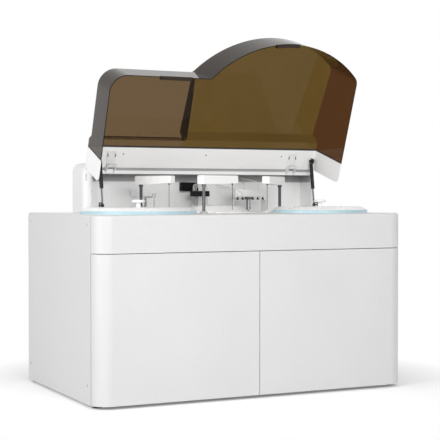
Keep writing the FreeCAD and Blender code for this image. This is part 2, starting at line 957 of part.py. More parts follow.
def ring_port_angles():
    """Angle of each probe, and of the mixer, when its tip is over the reaction ring."""
    angles = []
    for index, side in enumerate((-1, -1, 1)):
        angles.append(circle_crossing(arm_x[index], arm_y[index], arm_radius, ring_x, ring_y,
                                      ring_pick_radius, side))
    angles.append(circle_crossing(mixer_x, mixer_y, mixer_radius, ring_x, ring_y,
                                  ring_pick_radius, -1))
    return angles


def ring_port_places():
    angles = ring_port_angles()
    places = []
    for index in range(len(arm_x)):
        places.append(polar(arm_x[index], arm_y[index], arm_radius, angles[index]))
    places.append(polar(mixer_x, mixer_y, mixer_radius, angles[-1]))
    places.append(polar(arm_x[1], arm_y[1], arm_radius, centre_second_angle()))
    places.append((post_mixer_x, post_mixer_y))
    return places


def tube_places():
    places = []
    for index in range(tube_count):
        angle = sample_phase() + index * 360 / tube_count
        places.append(polar(left_disc_x, left_disc_y, left_pick_radius, angle))
    return places


def sample_tubes():
    low = turntable_low() + turntable_plate
    top = low + tube_height
    tubes = []
    for x, y in tube_places():
        body = rod(tube_radius, x, y, low, top)
        tubes.append(body.cut(rod(tube_bore, x, y, low + tube_floor, top + cut_over)))
    return group(tubes)


def reagent_plate():
    low = turntable_low()
    top = low + turntable_plate
    radius = right_disc_radius - cover_land - turntable_gap
    return turned([(0, low), (radius, low), (radius, top), (hub_radius, top),
                   (hub_radius, top + turntable_plate), (0, top + turntable_plate)],
                  right_disc_x, right_disc_y)


def reagent_phase():
    x, y = right_pick_place()
    return math.degrees(math.atan2(y - right_disc_y, x - right_disc_x))


def reagent_bottles():
    """Wedge-shaped bottles side by side on the right turntable."""
    low = turntable_low() + turntable_plate
    top = low + bottle_height
    outer = min(bottle_outer_radius, right_disc_radius - cover_land - turntable_gap)
    half_step = math.radians(180 / bottle_count)
    bottles = []
    for index in range(bottle_count):
        turn = reagent_phase() + index * 360 / bottle_count
        inner_half = bottle_inner_radius * math.tan(half_step) - bottle_side_gap / 2
        outer_half = outer * math.sin(half_step) - bottle_side_gap / 2
        outer_x = outer * math.cos(half_step)
        points = [V(bottle_inner_radius, -inner_half, low), V(outer_x, -outer_half, low),
                  V(outer_x, outer_half, low), V(bottle_inner_radius, inner_half, low)]
        body = prism(points, V(0, 0, top - low))
        mouth = top + bottle_neck_height
        neck = rod(bottle_neck_radius, right_pick_radius, 0, top, mouth)
        bottle = join([body, neck])
        bottle = bottle.cut(rod(bottle_mouth_radius, right_pick_radius, 0,
                                mouth - bottle_mouth_depth, mouth + cut_over))
        bottle.rotate(V(0, 0, 0), UP, turn)
        bottle.translate(V(right_disc_x, right_disc_y, 0))
        bottles.append(bottle)
    return group(bottles)


def right_pick_place():
    return polar(arm_x[2], arm_y[2], arm_radius, right_pick_angle())


def cover_notch(side):
    """Square-cornered notch, open to the rim, through which the probe tip swings and dips."""
    low = deck_height - cut_over
    high = deck_height + cover_height + cut_over
    half = notch_half_width
    if side < 0:
        x, y = left_pick_place()
        front = min(y, arm_y[0] - arm_radius)
        return box(x - half, left_disc_x + left_disc_radius, front - half, y + half + notch_pad,
                   low, high)
    x, y = right_pick_place()
    return box(right_disc_x - right_disc_radius, x + half, y - half,
               right_disc_y + right_disc_radius, low, high)


def disc_cover(x, y, radius, side):
    """Lift-off cover: a low upright band and a bevelled top, open underneath."""
    low = deck_height
    mid = low + cover_band_height
    high = low + cover_height
    under = high - cover_wall
    body = turned([(radius - band_wall, low), (radius, low), (radius, mid),
                   (radius - cover_bevel, high), (0, high), (0, under),
                   (radius - cover_bevel, under), (radius - band_wall, mid)], x, y)
    return body.cut(cover_notch(side))


def lift_knob(x, y):
    base = deck_height + cover_height
    top = base + knob_height
    head = top - knob_head_height
    return turned([(0, base), (knob_stem_radius + knob_stem_flare, base),
                   (knob_stem_radius, base + knob_stem_flare), (knob_stem_radius, head),
                   (knob_radius - knob_edge, head), (knob_radius, head + knob_edge),
                   (knob_radius, top - knob_edge), (knob_radius - knob_edge, top),
                   (0, top)], x, y)


def ring_low():
    return deck_height - ring_top_drop - ring_depth


def reaction_ring():
    """Ring of open pockets on spokes, turning just under the deck."""
    low = ring_low()
    top = low + ring_depth
    inner = ring_pick_radius - ring_half_width
    outer = ring_pick_radius + ring_half_width
    body = turned([(inner, low), (outer, low), (outer, top), (inner, top)], ring_x, ring_y)
    step = 360 / ring_pocket_count
    phase = ring_phase()
    half_long = math.pi * inner / ring_pocket_count - ring_wall
    half_wide = ring_half_width - ring_wall
    pockets = []
    for index in range(ring_pocket_count):
        pocket = box(ring_pick_radius - half_wide, ring_pick_radius + half_wide,
                     -half_long, half_long, low + ring_wall, top + cut_over)
        pockets.append(placed(pocket, ring_x, ring_y, phase + index * step))
    body = body.cut(group(pockets))
    parts = [body, rod(hub_radius, ring_x, ring_y, low, low + turntable_plate * 2)]
    for index in range(ring_spoke_count):
        spoke = box(hub_radius / 2, inner + ring_wall, -ring_spoke_width / 2,
                    ring_spoke_width / 2, low, low + turntable_plate)
        parts.append(placed(spoke, ring_x, ring_y, phase + index * 360 / ring_spoke_count))
    return join(parts)


def ring_phase():
    """Turns the pockets so that one lies under the right probe's port."""
    x, y = ring_port_places()[2]
    return math.degrees(math.atan2(y - ring_y, x - ring_x))


def ring_motor_top():
    return deck_under - ring_tub_depth


def wash_middle():
    """Direction of the ring wall between two pockets that is nearest the wash head."""
    step = 360 / ring_pocket_count
    first = ring_phase() + step / 2
    return first + step * round((wash_middle_angle - first) / step)


def wash_place():
    return polar(ring_x, ring_y, ring_pick_radius, wash_middle())


def wash_slot(z0, z1):
    """Curved slot for the wash nozzles at the back of the ring."""
    span = math.degrees(wash_block_length / ring_pick_radius)
    inner = ring_pick_radius - wash_slot_half_width
    outer = ring_pick_radius + wash_slot_half_width
    section = [V(ring_x + inner, ring_y, z0), V(ring_x + outer, ring_y, z0),
               V(ring_x + outer, ring_y, z1), V(ring_x + inner, ring_y, z1)]
    face = Part.Face(Part.makePolygon(section + section[:1]))
    face.rotate(V(ring_x, ring_y, 0), UP, wash_middle() - span / 2)
    return face.revolve(V(ring_x, ring_y, 0), UP, span)


def reaction_cover():
    """Fixed cover over the ring: a flat rim with ports and a raised centre."""
    low = deck_height
    rim = low + ring_cover_rise
    high = low + dome_rise
    wall = ring_cover_wall
    body = turned([(dome_base_radius - wall, low), (ring_cover_radius, low),
                   (ring_cover_radius, rim), (dome_base_radius, rim), (dome_top_radius, high),
                   (0, high), (0, high - wall), (dome_top_radius - wall / 2, high - wall),
                   (dome_base_radius - wall, rim - wall)], ring_x, ring_y)
    for x, y in ring_port_places():
        body = body.cut(rod(port_radius, x, y, low - cut_over, high + cut_over))
    return body.cut(wash_slot(low - cut_over, high + cut_over))


def placed(shape, x, y, angle):
    """Turns a shape drawn about the origin and moves it to x, y."""
    shape.rotate(V(0, 0, 0), UP, angle)
    shape.translate(V(x, y, 0))
    return shape


def probe_cover():
    """Moulded arm cover along +X from its column at the origin, thinner at the tip."""
    half = arm_body_width / 2
    tip = arm_radius + arm_nose
    under = arm_low - cut_over
    body = box(-arm_tail, tip, -half, half, arm_low, arm_top)
    body = body.makeFillet(arm_corner, upright_edges(body, arm_body_height))
    body = body.makeFillet(arm_edge, edges_on_level(body, arm_top))
    wedge = prism([V(arm_taper_start, -half, under), V(tip + cut_over, -half, under),
                   V(tip + cut_over, -half, arm_low + arm_taper),
                   V(arm_taper_start, -half, arm_low)], V(0, arm_body_width, 0))
    bore = arm_shaft_radius + shaft_clearance
    body = body.cut(wedge).cut(rod(bore, 0, 0, under, arm_low + arm_body_height / 2))
    return body.cut(rod(needle_hub_radius, arm_radius, 0, under, needle_top()))


def needle_top():
    return arm_low + arm_taper + needle_seat_depth


def probe_shaft():
    shaft = rod(arm_shaft_radius, 0, 0, arm_shaft_low, arm_low + arm_body_height / 2)
    collar = rod(arm_collar_radius, 0, 0, arm_low - arm_collar_height, arm_low)
    return join([shaft, collar])


def probe_needle():
    tip = deck_height + needle_tip_rise
    top = needle_top()
    return turned([(0, tip), (needle_point_radius, tip), (needle_radius, tip + needle_point),
                   (needle_radius, top - needle_hub_height - needle_seat_depth),
                   (needle_hub_radius, top - needle_hub_height),
                   (needle_hub_radius, top), (0, top)], arm_radius, 0)


def bush(shaft_radius, x, y):
    """Closed guide tube under the deck with a flanged collar above it."""
    bore = shaft_radius + shaft_clearance
    seat = deck_height + bush_flange_height
    rim = deck_height + bush_rise
    return turned([(0, bush_low), (bush_radius, bush_low), (bush_radius, deck_height),
                   (bush_flange_radius, deck_height), (bush_flange_radius, seat),
                   (bush_radius, seat), (bush_radius, rim), (bore, rim),
                   (bore, bush_low + bush_floor), (0, bush_low + bush_floor)], x, y)


def deck_guides():
    """Guide tubes of the four columns, and the square post of the wash head."""
    parts = [bush(arm_shaft_radius, x, y) for x, y in zip(arm_x, arm_y)]
    parts.append(bush(mixer_shaft_radius, mixer_x, mixer_y))
    x, y = wash_place()
    half = wash_post_width / 2
    y += wash_block_width / 2 + wash_post_setback
    parts.append(box(x - half, x + half, y - half, y + half, deck_height, wash_block_high))
    return group(parts)


def mixer_shaft():
    return rod(mixer_shaft_radius, mixer_x, mixer_y, arm_shaft_low,
               mixer_top - mixer_cap)


def mixer_arm():
    """Flat bar that turns on its column, with a small motor over its tip."""
    low = mixer_top - mixer_bar_height
    half = mixer_bar_width / 2
    bar = rounded_box(-mixer_tail, mixer_radius + half, -half, half, low, mixer_top,
                      half - running_gap)
    motor_body = rod(mixer_motor_radius, mixer_radius, 0, mixer_top,
                     mixer_top + mixer_motor_height)
    body = join([bar, motor_body])
    body = body.cut(rod(mixer_shaft_radius + shaft_clearance, 0, 0, low - cut_over,
                        mixer_top - mixer_cap))
    return body.cut(rod(stirrer_radius + shaft_clearance, mixer_radius, 0, low - cut_over,
                        mixer_top + mixer_motor_height / 2))


def stirrer(top, tip, x, y):
    blade = box(x - stirrer_blade_width / 2, x + stirrer_blade_width / 2,
                y - stirrer_blade_thickness / 2, y + stirrer_blade_thickness / 2,
                tip, tip + stirrer_blade_height)
    return join([rod(stirrer_radius, x, y, tip, top), blade])


def post_mixer():
    """Fixed mixer: a post on the ring cover with a motor box over its port."""
    base = deck_height + ring_cover_rise
    x = post_mixer_x
    y = post_mixer_y + post_mixer_offset
    low = post_mixer_top - post_mixer_box_height
    half = post_mixer_box_width / 2
    foot = rod(post_mixer_base_radius, x, y, base, base + post_mixer_base_height)
    post = rod(post_mixer_shaft_radius, x, y, base, low)
    head = rounded_box(x - half, x + half, post_mixer_y - half, y + half, low,
                       post_mixer_top, arm_edge / 2)
    body = join([foot, post, head])
    return body.cut(rod(stirrer_radius + shaft_clearance, post_mixer_x, post_mixer_y,
                        low - cut_over, low + post_mixer_box_height / 2))


def nozzle_places():
    """Nozzles stand in two rows of equal pitch, one row over each of two pockets."""
    step = math.degrees(wash_nozzle_pitch / ring_pick_radius)
    half_pocket = 180 / ring_pocket_count
    places = []
    for pocket in (-half_pocket, half_pocket):
        for index in range(wash_nozzles_per_pocket):
            turn = (index - (wash_nozzles_per_pocket - 1) / 2) * step
            places.append(polar(ring_x, ring_y, ring_pick_radius, wash_middle() + pocket + turn))
    return places


def wash_block():
    """Black head that carries the nozzles and slides down the square post behind it."""
    x, y = wash_place()
    half = wash_block_length / 2
    wide = wash_block_width / 2
    body = box(x - half, x + half, y - wide, y + wide, wash_block_low, wash_block_high)
    post = wash_post_width / 2 + wash_post_gap
    sleeve = post + wash_post_wall
    post_y = y + wide + wash_post_setback
    low = wash_block_high - wash_post_width
    arm = box(x - sleeve, x + sleeve, y + wide, post_y + sleeve, low, wash_block_high)
    body = join([body, arm])
    body = body.cut(box(x - post, x + post, post_y - post, post_y + post,
                        low - cut_over, wash_block_high + cut_over))
    bores = [rod(wash_nozzle_radius, a, b, wash_block_low - cut_over, wash_block_high + cut_over)
             for a, b in nozzle_places()]
    return body.cut(group(bores))


def wash_nozzles():
    return group([rod(wash_nozzle_radius, x, y, deck_height + wash_nozzle_rise, wash_block_high)
                  for x, y in nozzle_places()])


def bend_tube(points, radius):
    """Round tube along straight runs joined by tangent arcs."""
    edges = []
    last = points[0]
    for before, corner, after in zip(points, points[1:], points[2:]):
        into = (corner - before).normalize()
        out = (after - corner).normalize()
        turn = into.getAngle(out)
        run = min((corner - before).Length, (after - corner).Length)
        trim = bend_share * run
        start = corner - into * trim
        end = corner + out * trim
        bend = trim / math.tan(turn / 2)
        middle_out = (out - into).normalize()
        centre = corner + middle_out * (bend / math.cos(turn / 2))
        middle = centre - middle_out * bend
        if (start - last).Length > radius * least_run_share:
            edges.append(Part.LineSegment(last, start).toShape())
        edges.append(Part.Arc(start, middle, end).toShape())
        last = end
    edges.append(Part.LineSegment(last, points[-1]).toShape())
    path = Part.Wire(edges)
    direction = (points[1] - points[0]).normalize()
    circle = Part.Wire(Part.Circle(points[0], direction, radius).toShape())
    tube = path.makePipeShell([circle], True, False)
    expected = math.pi * radius * radius * path.Length
    print("tube", round(path.Length, 1), "volume ratio", round(tube.Volume / expected, 4))
    return tube


def wash_tubing():
    """Nested white loops that join the nozzles in pairs over the wash head."""
    places = nozzle_places()
    tubes = []
    for index in range(wash_tube_count):
        x0, y0 = places[index]
        x1, y1 = places[-1 - index]
        top = wash_block_high + wash_tube_rise - index * wash_tube_step
        points = [V(x0, y0, wash_block_high), V(x0, y0, top),
                  V(x1, y1, top), V(x1, y1, wash_block_high)]
        tubes.append(bend_tube(points, wash_tube_radius))
    return group(tubes)


def manifold_bridge():
    """Bent white bracket on two legs; the left leg is narrow to clear the ring cover."""
    y0 = bridge_y - bridge_width / 2
    y1 = bridge_y + bridge_width / 2
    x0 = bridge_left_x
    x1 = bridge_right_x
    low = deck_height
    foot = low + bridge_sheet
    left_y = y1 - bridge_leg_width
    parts = [box(x0, x1, y0, y1, bridge_top - bridge_sheet, bridge_top),
             box(x0, x0 + bridge_sheet, left_y, y1, low, bridge_top),
             box(x1 - bridge_sheet, x1, y0, y1, low, bridge_top),
             box(x0, x0 + bridge_foot, left_y, y1, low, foot),
             box(x1 - bridge_foot, x1, y0, y1, low, foot)]
    return join(parts)


def manifold_centre():
    x1 = bridge_right_x - manifold_right_inset
    return x1 - manifold_length / 2, bridge_y + bridge_width / 2 - manifold_width / 2


def manifold_box():
    x, y = manifold_centre()
    half = manifold_length / 2
    wide = manifold_width / 2
    body = rounded_box(x - half, x + half, y - wide, y + wide, manifold_low, manifold_high,
                       manifold_edge)
    legs = []
    for step in (-1, 1):
        legs.append(rod(manifold_leg_radius, x + step * (half - manifold_width / 2), y,
                        bridge_top, manifold_low))
    return join([body] + legs)


def manifold_tubing():
    """Hoses from the back wall: two arch over to the manifold, two run to its fittings."""
    x_end, y_end = manifold_centre()
    tubes = []
    for drop, along in zip(hose_wall_drops, hose_end_shares):
        x = x_end + (along - half_share) * manifold_length
        z = cavity_ceiling - drop
        wall_x = ring_x + hose_wall_right
        points = [V(wall_x, cavity_back_y, z), V(wall_x, cavity_back_y - hose_bend, z),
                  V(x, y_end, z - hose_fall), V(x, y_end, manifold_high)]
        tubes.append(bend_tube(points, hose_radius))
    top = bridge_top + fitting_height + fitting_barb_height
    for index, rise in enumerate(line_rises):
        x, y = fitting_place(index)
        z = top + rise
        corner_x = bridge_left_x - line_side_gap
        points = [V(corner_x - line_wall_shift, cavity_back_y, z + line_fall),
                  V(corner_x, y + line_side_gap, z + line_fall / 2), V(x, y, z), V(x, y, top)]
        tubes.append(bend_tube(points, line_radius))
    return group(tubes)


def fitting_place(index):
    span = bridge_right_x - bridge_left_x
    x = bridge_left_x + span * (index + half_share) / fitting_count
    return x, bridge_y - bridge_width / 2 + fitting_radius * 2


def manifold_fittings():
    """Black push-in fittings along the front edge of the bridge."""
    parts = []
    for index in range(fitting_count):
        x, y = fitting_place(index)
        base = bridge_top
        middle = base + fitting_height
        parts.append(turned([(0, base), (fitting_radius, base), (fitting_radius, middle),
                             (fitting_barb_radius, middle),
                             (fitting_barb_radius, middle + fitting_barb_height),
                             (0, middle + fitting_barb_height)], x, y))
    return group(parts)


def housing_block(inset, low):
    """Outer form of the rear housing, with rounded front corners and rounded top ends."""
    x0 = housing_left_x + inset
    x1 = housing_right_x - inset
    y0 = housing_front_y + inset
    y1 = half_depth - inset
    top = housing_top - inset
    body = box(x0, x1, y0, y1, low, top)
    for radius, left in ((cheek_left_radius, True), (cheek_right_radius, False)):
        chosen = []
        for edge in upright_edges(body, top - low):
            if edge.BoundBox.YMax < y0 + sheet and (edge.BoundBox.XMax < 0) == left:
                chosen.append(edge)
        body = body.makeFillet(radius - inset, chosen)
    radius = housing_crown_radius - inset
    for x_end, side in ((x0, -1), (x1, 1)):
        x_in = x_end - side * radius
        xs = sorted((x_end + side * cut_over, x_in))
        corner = box(xs[0], xs[1], y0 - cut_over, y1 + cut_over, top - radius, top + cut_over)
        bar = Part.makeCylinder(radius, y1 - y0 + cut_over * 4,
                                V(x_in, y0 - cut_over * 2, top - radius), BACK)
        body = body.cut(corner.cut(bar))
    return body


def cavity_box(grow):
    """Room of the rear housing that is open towards the deck."""
    return box(housing_left_x + cheek_left_width - grow,
               housing_right_x - cheek_right_width + grow,
               housing_front_y - cut_over, cavity_back_y + grow,
               deck_height, cavity_ceiling + grow)


def rear_housing():
    """Thin-walled hood along the back edge with an open cavity towards the deck."""
    seat = deck_height + housing_seat_gap
    wall = housing_wall
    hollow = housing_block(wall, deck_height).cut(cavity_box(wall))
    body = housing_block(0, seat).cut(hollow).cut(cavity_box(0))
    plinth = box(housing_left_x + cheek_left_width, housing_right_x - cheek_right_width,
                 cavity_back_y, half_depth - plinth_overlap, deck_height, seat)
    return join([body, plinth])


def housing_lip():
    """Folded brow along the top of the cavity, in front of the hood."""
    y0 = lip_front_y
    y1 = housing_front_y
    z0 = cavity_ceiling
    z1 = housing_top
    wall = lip_thickness
    parts = [box(lip_left_x, lip_right_x, y0, y0 + wall, z0, z1),
             box(lip_left_x, lip_right_x, y0, y1, z1 - wall, z1),
             box(lip_left_x, lip_right_x, y0, y0 + lip_flange, z0, z0 + wall),
             box(lip_left_x, lip_left_x + wall, y0, y1, z0, z1),
             box(lip_right_x - wall, lip_right_x, y0, y1, z0, z1)]
    return join(parts)


def housing_screws():
    screws = []
    z = (cavity_ceiling + housing_top) / 2 - small_screw_radius
    span = lip_right_x - lip_left_x
    for index in range(lip_screw_count):
        x = lip_left_x + span * (index + lip_screw_share) / lip_screw_count
        screws.append(rod_between(small_screw_radius, V(x, lip_front_y, z),
                                  V(x, lip_front_y - small_screw_head, z)))
    cheek = housing_left_x + cheek_left_width - small_screw_radius * 2
    for share in cheek_screw_shares:
        z = deck_height + share * (housing_top - deck_height)
        screws.append(rod_between(small_screw_radius, V(cheek, housing_front_y, z),
                                  V(cheek, housing_front_y - small_screw_head, z)))
    return group(screws)


def duct_box():
    return rounded_box(duct_box_x, duct_box_x + duct_box_length,
                       cavity_back_y - duct_box_depth, cavity_back_y,
                       duct_box_low, duct_box_low + duct_box_height, manifold_edge)


def sensor_box():
    body = rounded_box(sensor_box_x, sensor_box_x + sensor_box_size,
                       cavity_back_y - sensor_box_depth, cavity_back_y,
                       sensor_box_low, sensor_box_low + sensor_box_size, manifold_edge)
    x = sensor_box_x + sensor_box_size / 2
    y = cavity_back_y - sensor_box_depth / 2
    gland = rod(fitting_radius, x, y, sensor_box_low - fitting_height, sensor_box_low)
    return join([body, gland])


def lid_point(x, u, w):
    return V(x, hinge_y - u, hinge_z + w)


def lid_outline(w, inset):
    """Plan outline of the lid at height w, leaning in towards the roof."""
    share = (w - lid_rim_w) / (lid_form_w - lid_rim_w)
    x0 = lid_left_x + lean_left * share + inset
    x1 = lid_right_x - lean_right * share - inset
    front = lid_front_u - lean_front * share - inset
    radius = lid_arc_radius - lean_arc * share - inset
    corner = lid_corner_radius - inset
    right_corner = lid_right_corner_radius - inset
    rear = lid_rear_u - (cut_over if inset else 0)
    join_x = lid_arc_x - math.sqrt(radius ** 2 - (front - lid_arc_u) ** 2)
    centre_x = x1 - right_corner
    centre_u = lid_arc_u + math.sqrt((radius - right_corner) ** 2
                                     - (centre_x - lid_arc_x) ** 2)
    reach = radius / (radius - right_corner)
    touch_x = lid_arc_x + (centre_x - lid_arc_x) * reach
    touch_u = lid_arc_u + (centre_u - lid_arc_u) * reach
    start = math.atan2(front - lid_arc_u, join_x - lid_arc_x)
    end = math.atan2(touch_u - lid_arc_u, touch_x - lid_arc_x)
    middle = (start + end) / 2
    half_turn = end / 2
    diagonal = math.sqrt(half_share)
    edges = [
        Part.LineSegment(lid_point(x0, rear, w), lid_point(x0, front - corner, w)).toShape(),
        Part.Arc(lid_point(x0, front - corner, w),
                 lid_point(x0 + corner * (1 - diagonal), front - corner * (1 - diagonal), w),
                 lid_point(x0 + corner, front, w)).toShape(),
        Part.LineSegment(lid_point(x0 + corner, front, w),
                         lid_point(join_x, front, w)).toShape(),
        Part.Arc(lid_point(join_x, front, w),
                 lid_point(lid_arc_x + radius * math.cos(middle),
                           lid_arc_u + radius * math.sin(middle), w),
                 lid_point(touch_x, touch_u, w)).toShape(),
        Part.Arc(lid_point(touch_x, touch_u, w),
                 lid_point(centre_x + right_corner * math.cos(half_turn),
                           centre_u + right_corner * math.sin(half_turn), w),
                 lid_point(x1, centre_u, w)).toShape(),
        Part.LineSegment(lid_point(x1, centre_u, w), lid_point(x1, rear, w)).toShape(),
        Part.LineSegment(lid_point(x1, rear, w), lid_point(x0, rear, w)).toShape()]
    return Part.Wire(edges)


def lid_block(inset):
    """Leaning block inside the lid outline; its roof steps down left and up right."""
    low = lid_rim_w - (cut_over if inset else 0)
    body = Part.makeLoft([lid_outline(low, inset), lid_outline(lid_form_w, inset)], True, True)
    over = lid_corner_radius
    rear = lid_rear_u - over
    bottom = low - over
    far = lid_arc_u + lid_arc_radius + over
    roof = lid_roof_w - inset
    high = lid_high_roof_w - inset
    slope = (lid_high_roof_w - lid_roof_w) / (lid_high_end_u - lid_high_step_u)
    left = [(rear, bottom), (rear, roof), (lid_step_u - inset, roof),
            (lid_low_step_u - inset, lid_low_roof_w - inset), (far, lid_low_roof_w - inset),
            (far, bottom)]
    right = [(rear, bottom), (rear, roof), (lid_step_u + inset, roof),
             (lid_high_step_u + inset, high - slope * inset),
             (far, high - slope * (far - lid_high_step_u)),
             (far, bottom)]
    x_left = lid_left_x - over
    x_right = lid_right_x + over
    split = lid_split_x + inset
    parts = []
    for profile, x0, x1 in ((left, x_left, split), (right, split, x_right)):
        room = prism([lid_point(x0, u, w) for u, w in profile], V(x1 - x0, 0, 0))
        parts.append(body.common(room))
    return parts[0].fuse(parts[1])


def lid_slice(shell, u0, u1):
    over = lid_corner_radius
    low = lid_point(lid_left_x - over, u1, lid_rim_w - over)
    return shell.common(Part.makeBox(lid_right_x - lid_left_x + over * 2, u1 - u0,
                                     lid_form_w - lid_rim_w + over * 2, low))


def cheek_corner_cut():
    """Rounds the lower back corner of both lid cheeks."""
    over = lid_corner_radius
    u0 = lid_rear_u - cut_over
    u1 = lid_rear_u + cheek_corner
    w0 = lid_rim_w - cut_over
    w1 = lid_rim_w + cheek_corner
    width = lid_right_x - lid_left_x + over * 2
    low = lid_point(lid_left_x - over, u1, w0)
    block = Part.makeBox(width, u1 - u0, w1 - w0, low)
    bar = Part.makeCylinder(cheek_corner, width, lid_point(lid_left_x - over, u1, w1), RIGHT)
    return block.cut(bar)


def open_lid(shape):
    shape.rotate(V(0, hinge_y, hinge_z), RIGHT, -lid_open_angle)
    return shape


def lid_pieces():
    shell = lid_block(0).cut(lid_block(lid_wall)).removeSplitter()
    back = lid_slice(shell, lid_rear_u - lid_wall, frame_front_u)
    back = back.cut(cheek_corner_cut())
    seal = lid_slice(shell, frame_front_u, frame_front_u + gasket_width)
    canopy = lid_slice(shell, frame_front_u + gasket_width, lid_arc_u + lid_arc_radius * 2)
    return back, seal, canopy


def lid_grips():
    """Two moulded grips that wrap the rim of the canopy."""
    grips = []
    outer_shape = lid_block(-grip_wall).cut(lid_block(0))
    inner_shape = lid_block(lid_wall).cut(lid_block(lid_wall + grip_in_thickness))
    rim = lid_block(-grip_wall).cut(lid_block(lid_wall + grip_in_thickness))
    left_x0 = lid_left_x + left_grip_inset
    right_x1 = lid_right_x - right_grip_inset
    for x0, x1, u0 in ((left_x0, left_x0 + left_grip_length, lid_front_u / 2),
                       (right_x1 - right_grip_length, right_x1, lid_front_u)):
        outer_zone = lid_zone(x0, x1, u0, lid_rim_w, lid_rim_w + grip_out)
        inner_zone = lid_zone(x0, x1, u0, lid_rim_w, lid_rim_w + grip_in)
        outside = outer_shape.common(outer_zone)
        inside = inner_shape.common(inner_zone)
        under = rim.common(lid_zone(x0, x1, u0, lid_rim_w, lid_rim_w + grip_wall))
        under.translate(V(0, 0, -grip_wall))
        grips.append(join([outside, inside, under]))
    return group(grips)


def lid_zone(x0, x1, u0, w0, w1):
    far = lid_arc_u + lid_arc_radius * 2
    return Part.makeBox(x1 - x0, far - u0, w1 - w0, lid_point(x0, far, w0))


def hinge_base(x):
    """Fixed half: a plate on the brow and two ears that hold the pin."""
    outer = hinge_knuckle / 2 + hinge_side_gap + hinge_ear
    plate = box(x - outer, x + outer, lip_front_y - hinge_leaf, lip_front_y,
                hinge_base_low, hinge_base_high)
    parts = [plate]
    near = hinge_barrel_radius * hinge_web_share
    for side in (-1, 1):
        x0 = x + side * (hinge_knuckle / 2 + hinge_side_gap)
        x1 = x + side * outer
        xs = sorted((x0, x1))
        barrel = Part.makeCylinder(hinge_barrel_radius, xs[1] - xs[0],
                                   V(xs[0], hinge_y, hinge_z), RIGHT)
        web = prism([V(xs[0], hinge_y - near, hinge_z - near),
                     V(xs[0], hinge_y + near, hinge_z + near),
                     V(xs[0], lip_front_y, hinge_base_high),
                     V(xs[0], lip_front_y, hinge_base_low)], V(xs[1] - xs[0], 0, 0))
        parts += [barrel, web]
    body = join(parts)
    bore = hinge_pin_radius + shaft_clearance
    return body.cut(Part.makeCylinder(bore, outer * 4, V(x - outer * 2, hinge_y, hinge_z), RIGHT))


def hinge_pin(x):
    reach = hinge_knuckle / 2 + hinge_side_gap + hinge_ear
    return rod_between(hinge_pin_radius, V(x - reach, hinge_y, hinge_z),
                       V(x + reach, hinge_y, hinge_z))


def hinge_leaf_part(x):
    """Moving half: slotted plate on the lid with a knuckle on the pin."""
    half = hinge_knuckle / 2
    inside = lid_roof_w - lid_wall
    plate_low = lid_point(x - half - hinge_ear, hinge_leaf_high_u, inside - hinge_leaf)
    plate = Part.makeBox(hinge_knuckle + hinge_ear * 2, hinge_leaf_high_u - hinge_leaf_low_u,
                         hinge_leaf, plate_low)
    arm = Part.makeBox(hinge_knuckle, hinge_leaf_low_u + hinge_web_half * 2, hinge_leaf,
                       lid_point(x - half, hinge_leaf_low_u + hinge_web_half, inside - hinge_leaf))
    web = Part.makeBox(hinge_knuckle, hinge_web_half * 2, inside,
                       lid_point(x - half, hinge_web_half, 0))
    barrel = Part.makeCylinder(hinge_barrel_radius, hinge_knuckle,
                               lid_point(x - half, 0, 0), RIGHT)
    body = join([plate, arm, web, barrel])
    for side in (-1, 1):
        middle = x + side * hinge_slot_x
        slot = Part.makeBox(hinge_slot_width, hinge_slot_high - hinge_slot_low, hinge_leaf * 2,
                            lid_point(middle - hinge_slot_width / 2, hinge_slot_high,
                                      inside - hinge_leaf * 2))
        body = body.cut(slot)
    bore = hinge_pin_radius + shaft_clearance
    return body.cut(Part.makeCylinder(bore, hinge_knuckle * 2,
                                      lid_point(x - hinge_knuckle, 0, 0), RIGHT))


def lid_screws():
    screws = []
    inside = lid_roof_w - lid_wall
    span = lid_right_x - lid_left_x
    for share in lid_screw_shares:
        x = lid_left_x + span * share
        start = lid_point(x, lid_screw_u, inside)
        end = lid_point(x, lid_screw_u, inside - small_screw_head)
        screws.append(rod_between(small_screw_radius, start, end))
    return group(screws)


def strut_top():
    """Upper ball centre in the open pose."""
    angle = math.radians(lid_open_angle)
    y = hinge_y - strut_top_u * math.cos(angle) + strut_top_w * math.sin(angle)
    z = hinge_z + strut_top_u * math.sin(angle) + strut_top_w * math.cos(angle)
    return y, z


def strut_line(x):
    y, z = strut_top()
    top = V(x, y, z)
    base = V(x, strut_base_y, strut_base_z)
    return top, base, (base - top).normalize()


def strut_eye(centre):
    half = strut_eye_width / 2
    return Part.makeCylinder(strut_eye_radius, strut_eye_width, centre - V(half, 0, 0), RIGHT)


def strut_cylinder(x):
    top, base, along = strut_line(x)
    body_start = top + along * strut_eye_radius * strut_neck_share
    body_end = top + along * (strut_cylinder_length + strut_eye_radius)
    neck = rod_between(strut_rod_radius, top, body_start)
    tube = rod_between(strut_cylinder_radius, body_start, body_end)
    body = join([strut_eye(top), neck, tube])
    bore_start = body_end - along * strut_bore_depth
    body = body.cut(rod_between(strut_rod_radius + shaft_clearance, bore_start,
                                body_end + along * cut_over))
    half = strut_eye_width / 2
    return body.cut(Part.makeCylinder(strut_stud_radius + shaft_clearance, strut_eye_width * 2,
                                      top - V(half * 2, 0, 0), RIGHT))


def strut_rod(x):
    """Piston rod with its end eye and a stud that passes through the base plate."""
    top, base, along = strut_line(x)
    body_end = top + along * (strut_cylinder_length + strut_eye_radius)
    inner = body_end - along * (strut_bore_depth - strut_plunge_room)
    bar = rod_between(strut_rod_radius, inner, base)
    outward = 1 if x > 0 else -1
    reach = strut_eye_width / 2 + strut_side_gap + strut_plate + strut_stud_end
    stud = rod_between(strut_stud_radius, base, base + V(outward * reach, 0, 0))
    return join([bar, strut_eye(base), stud])


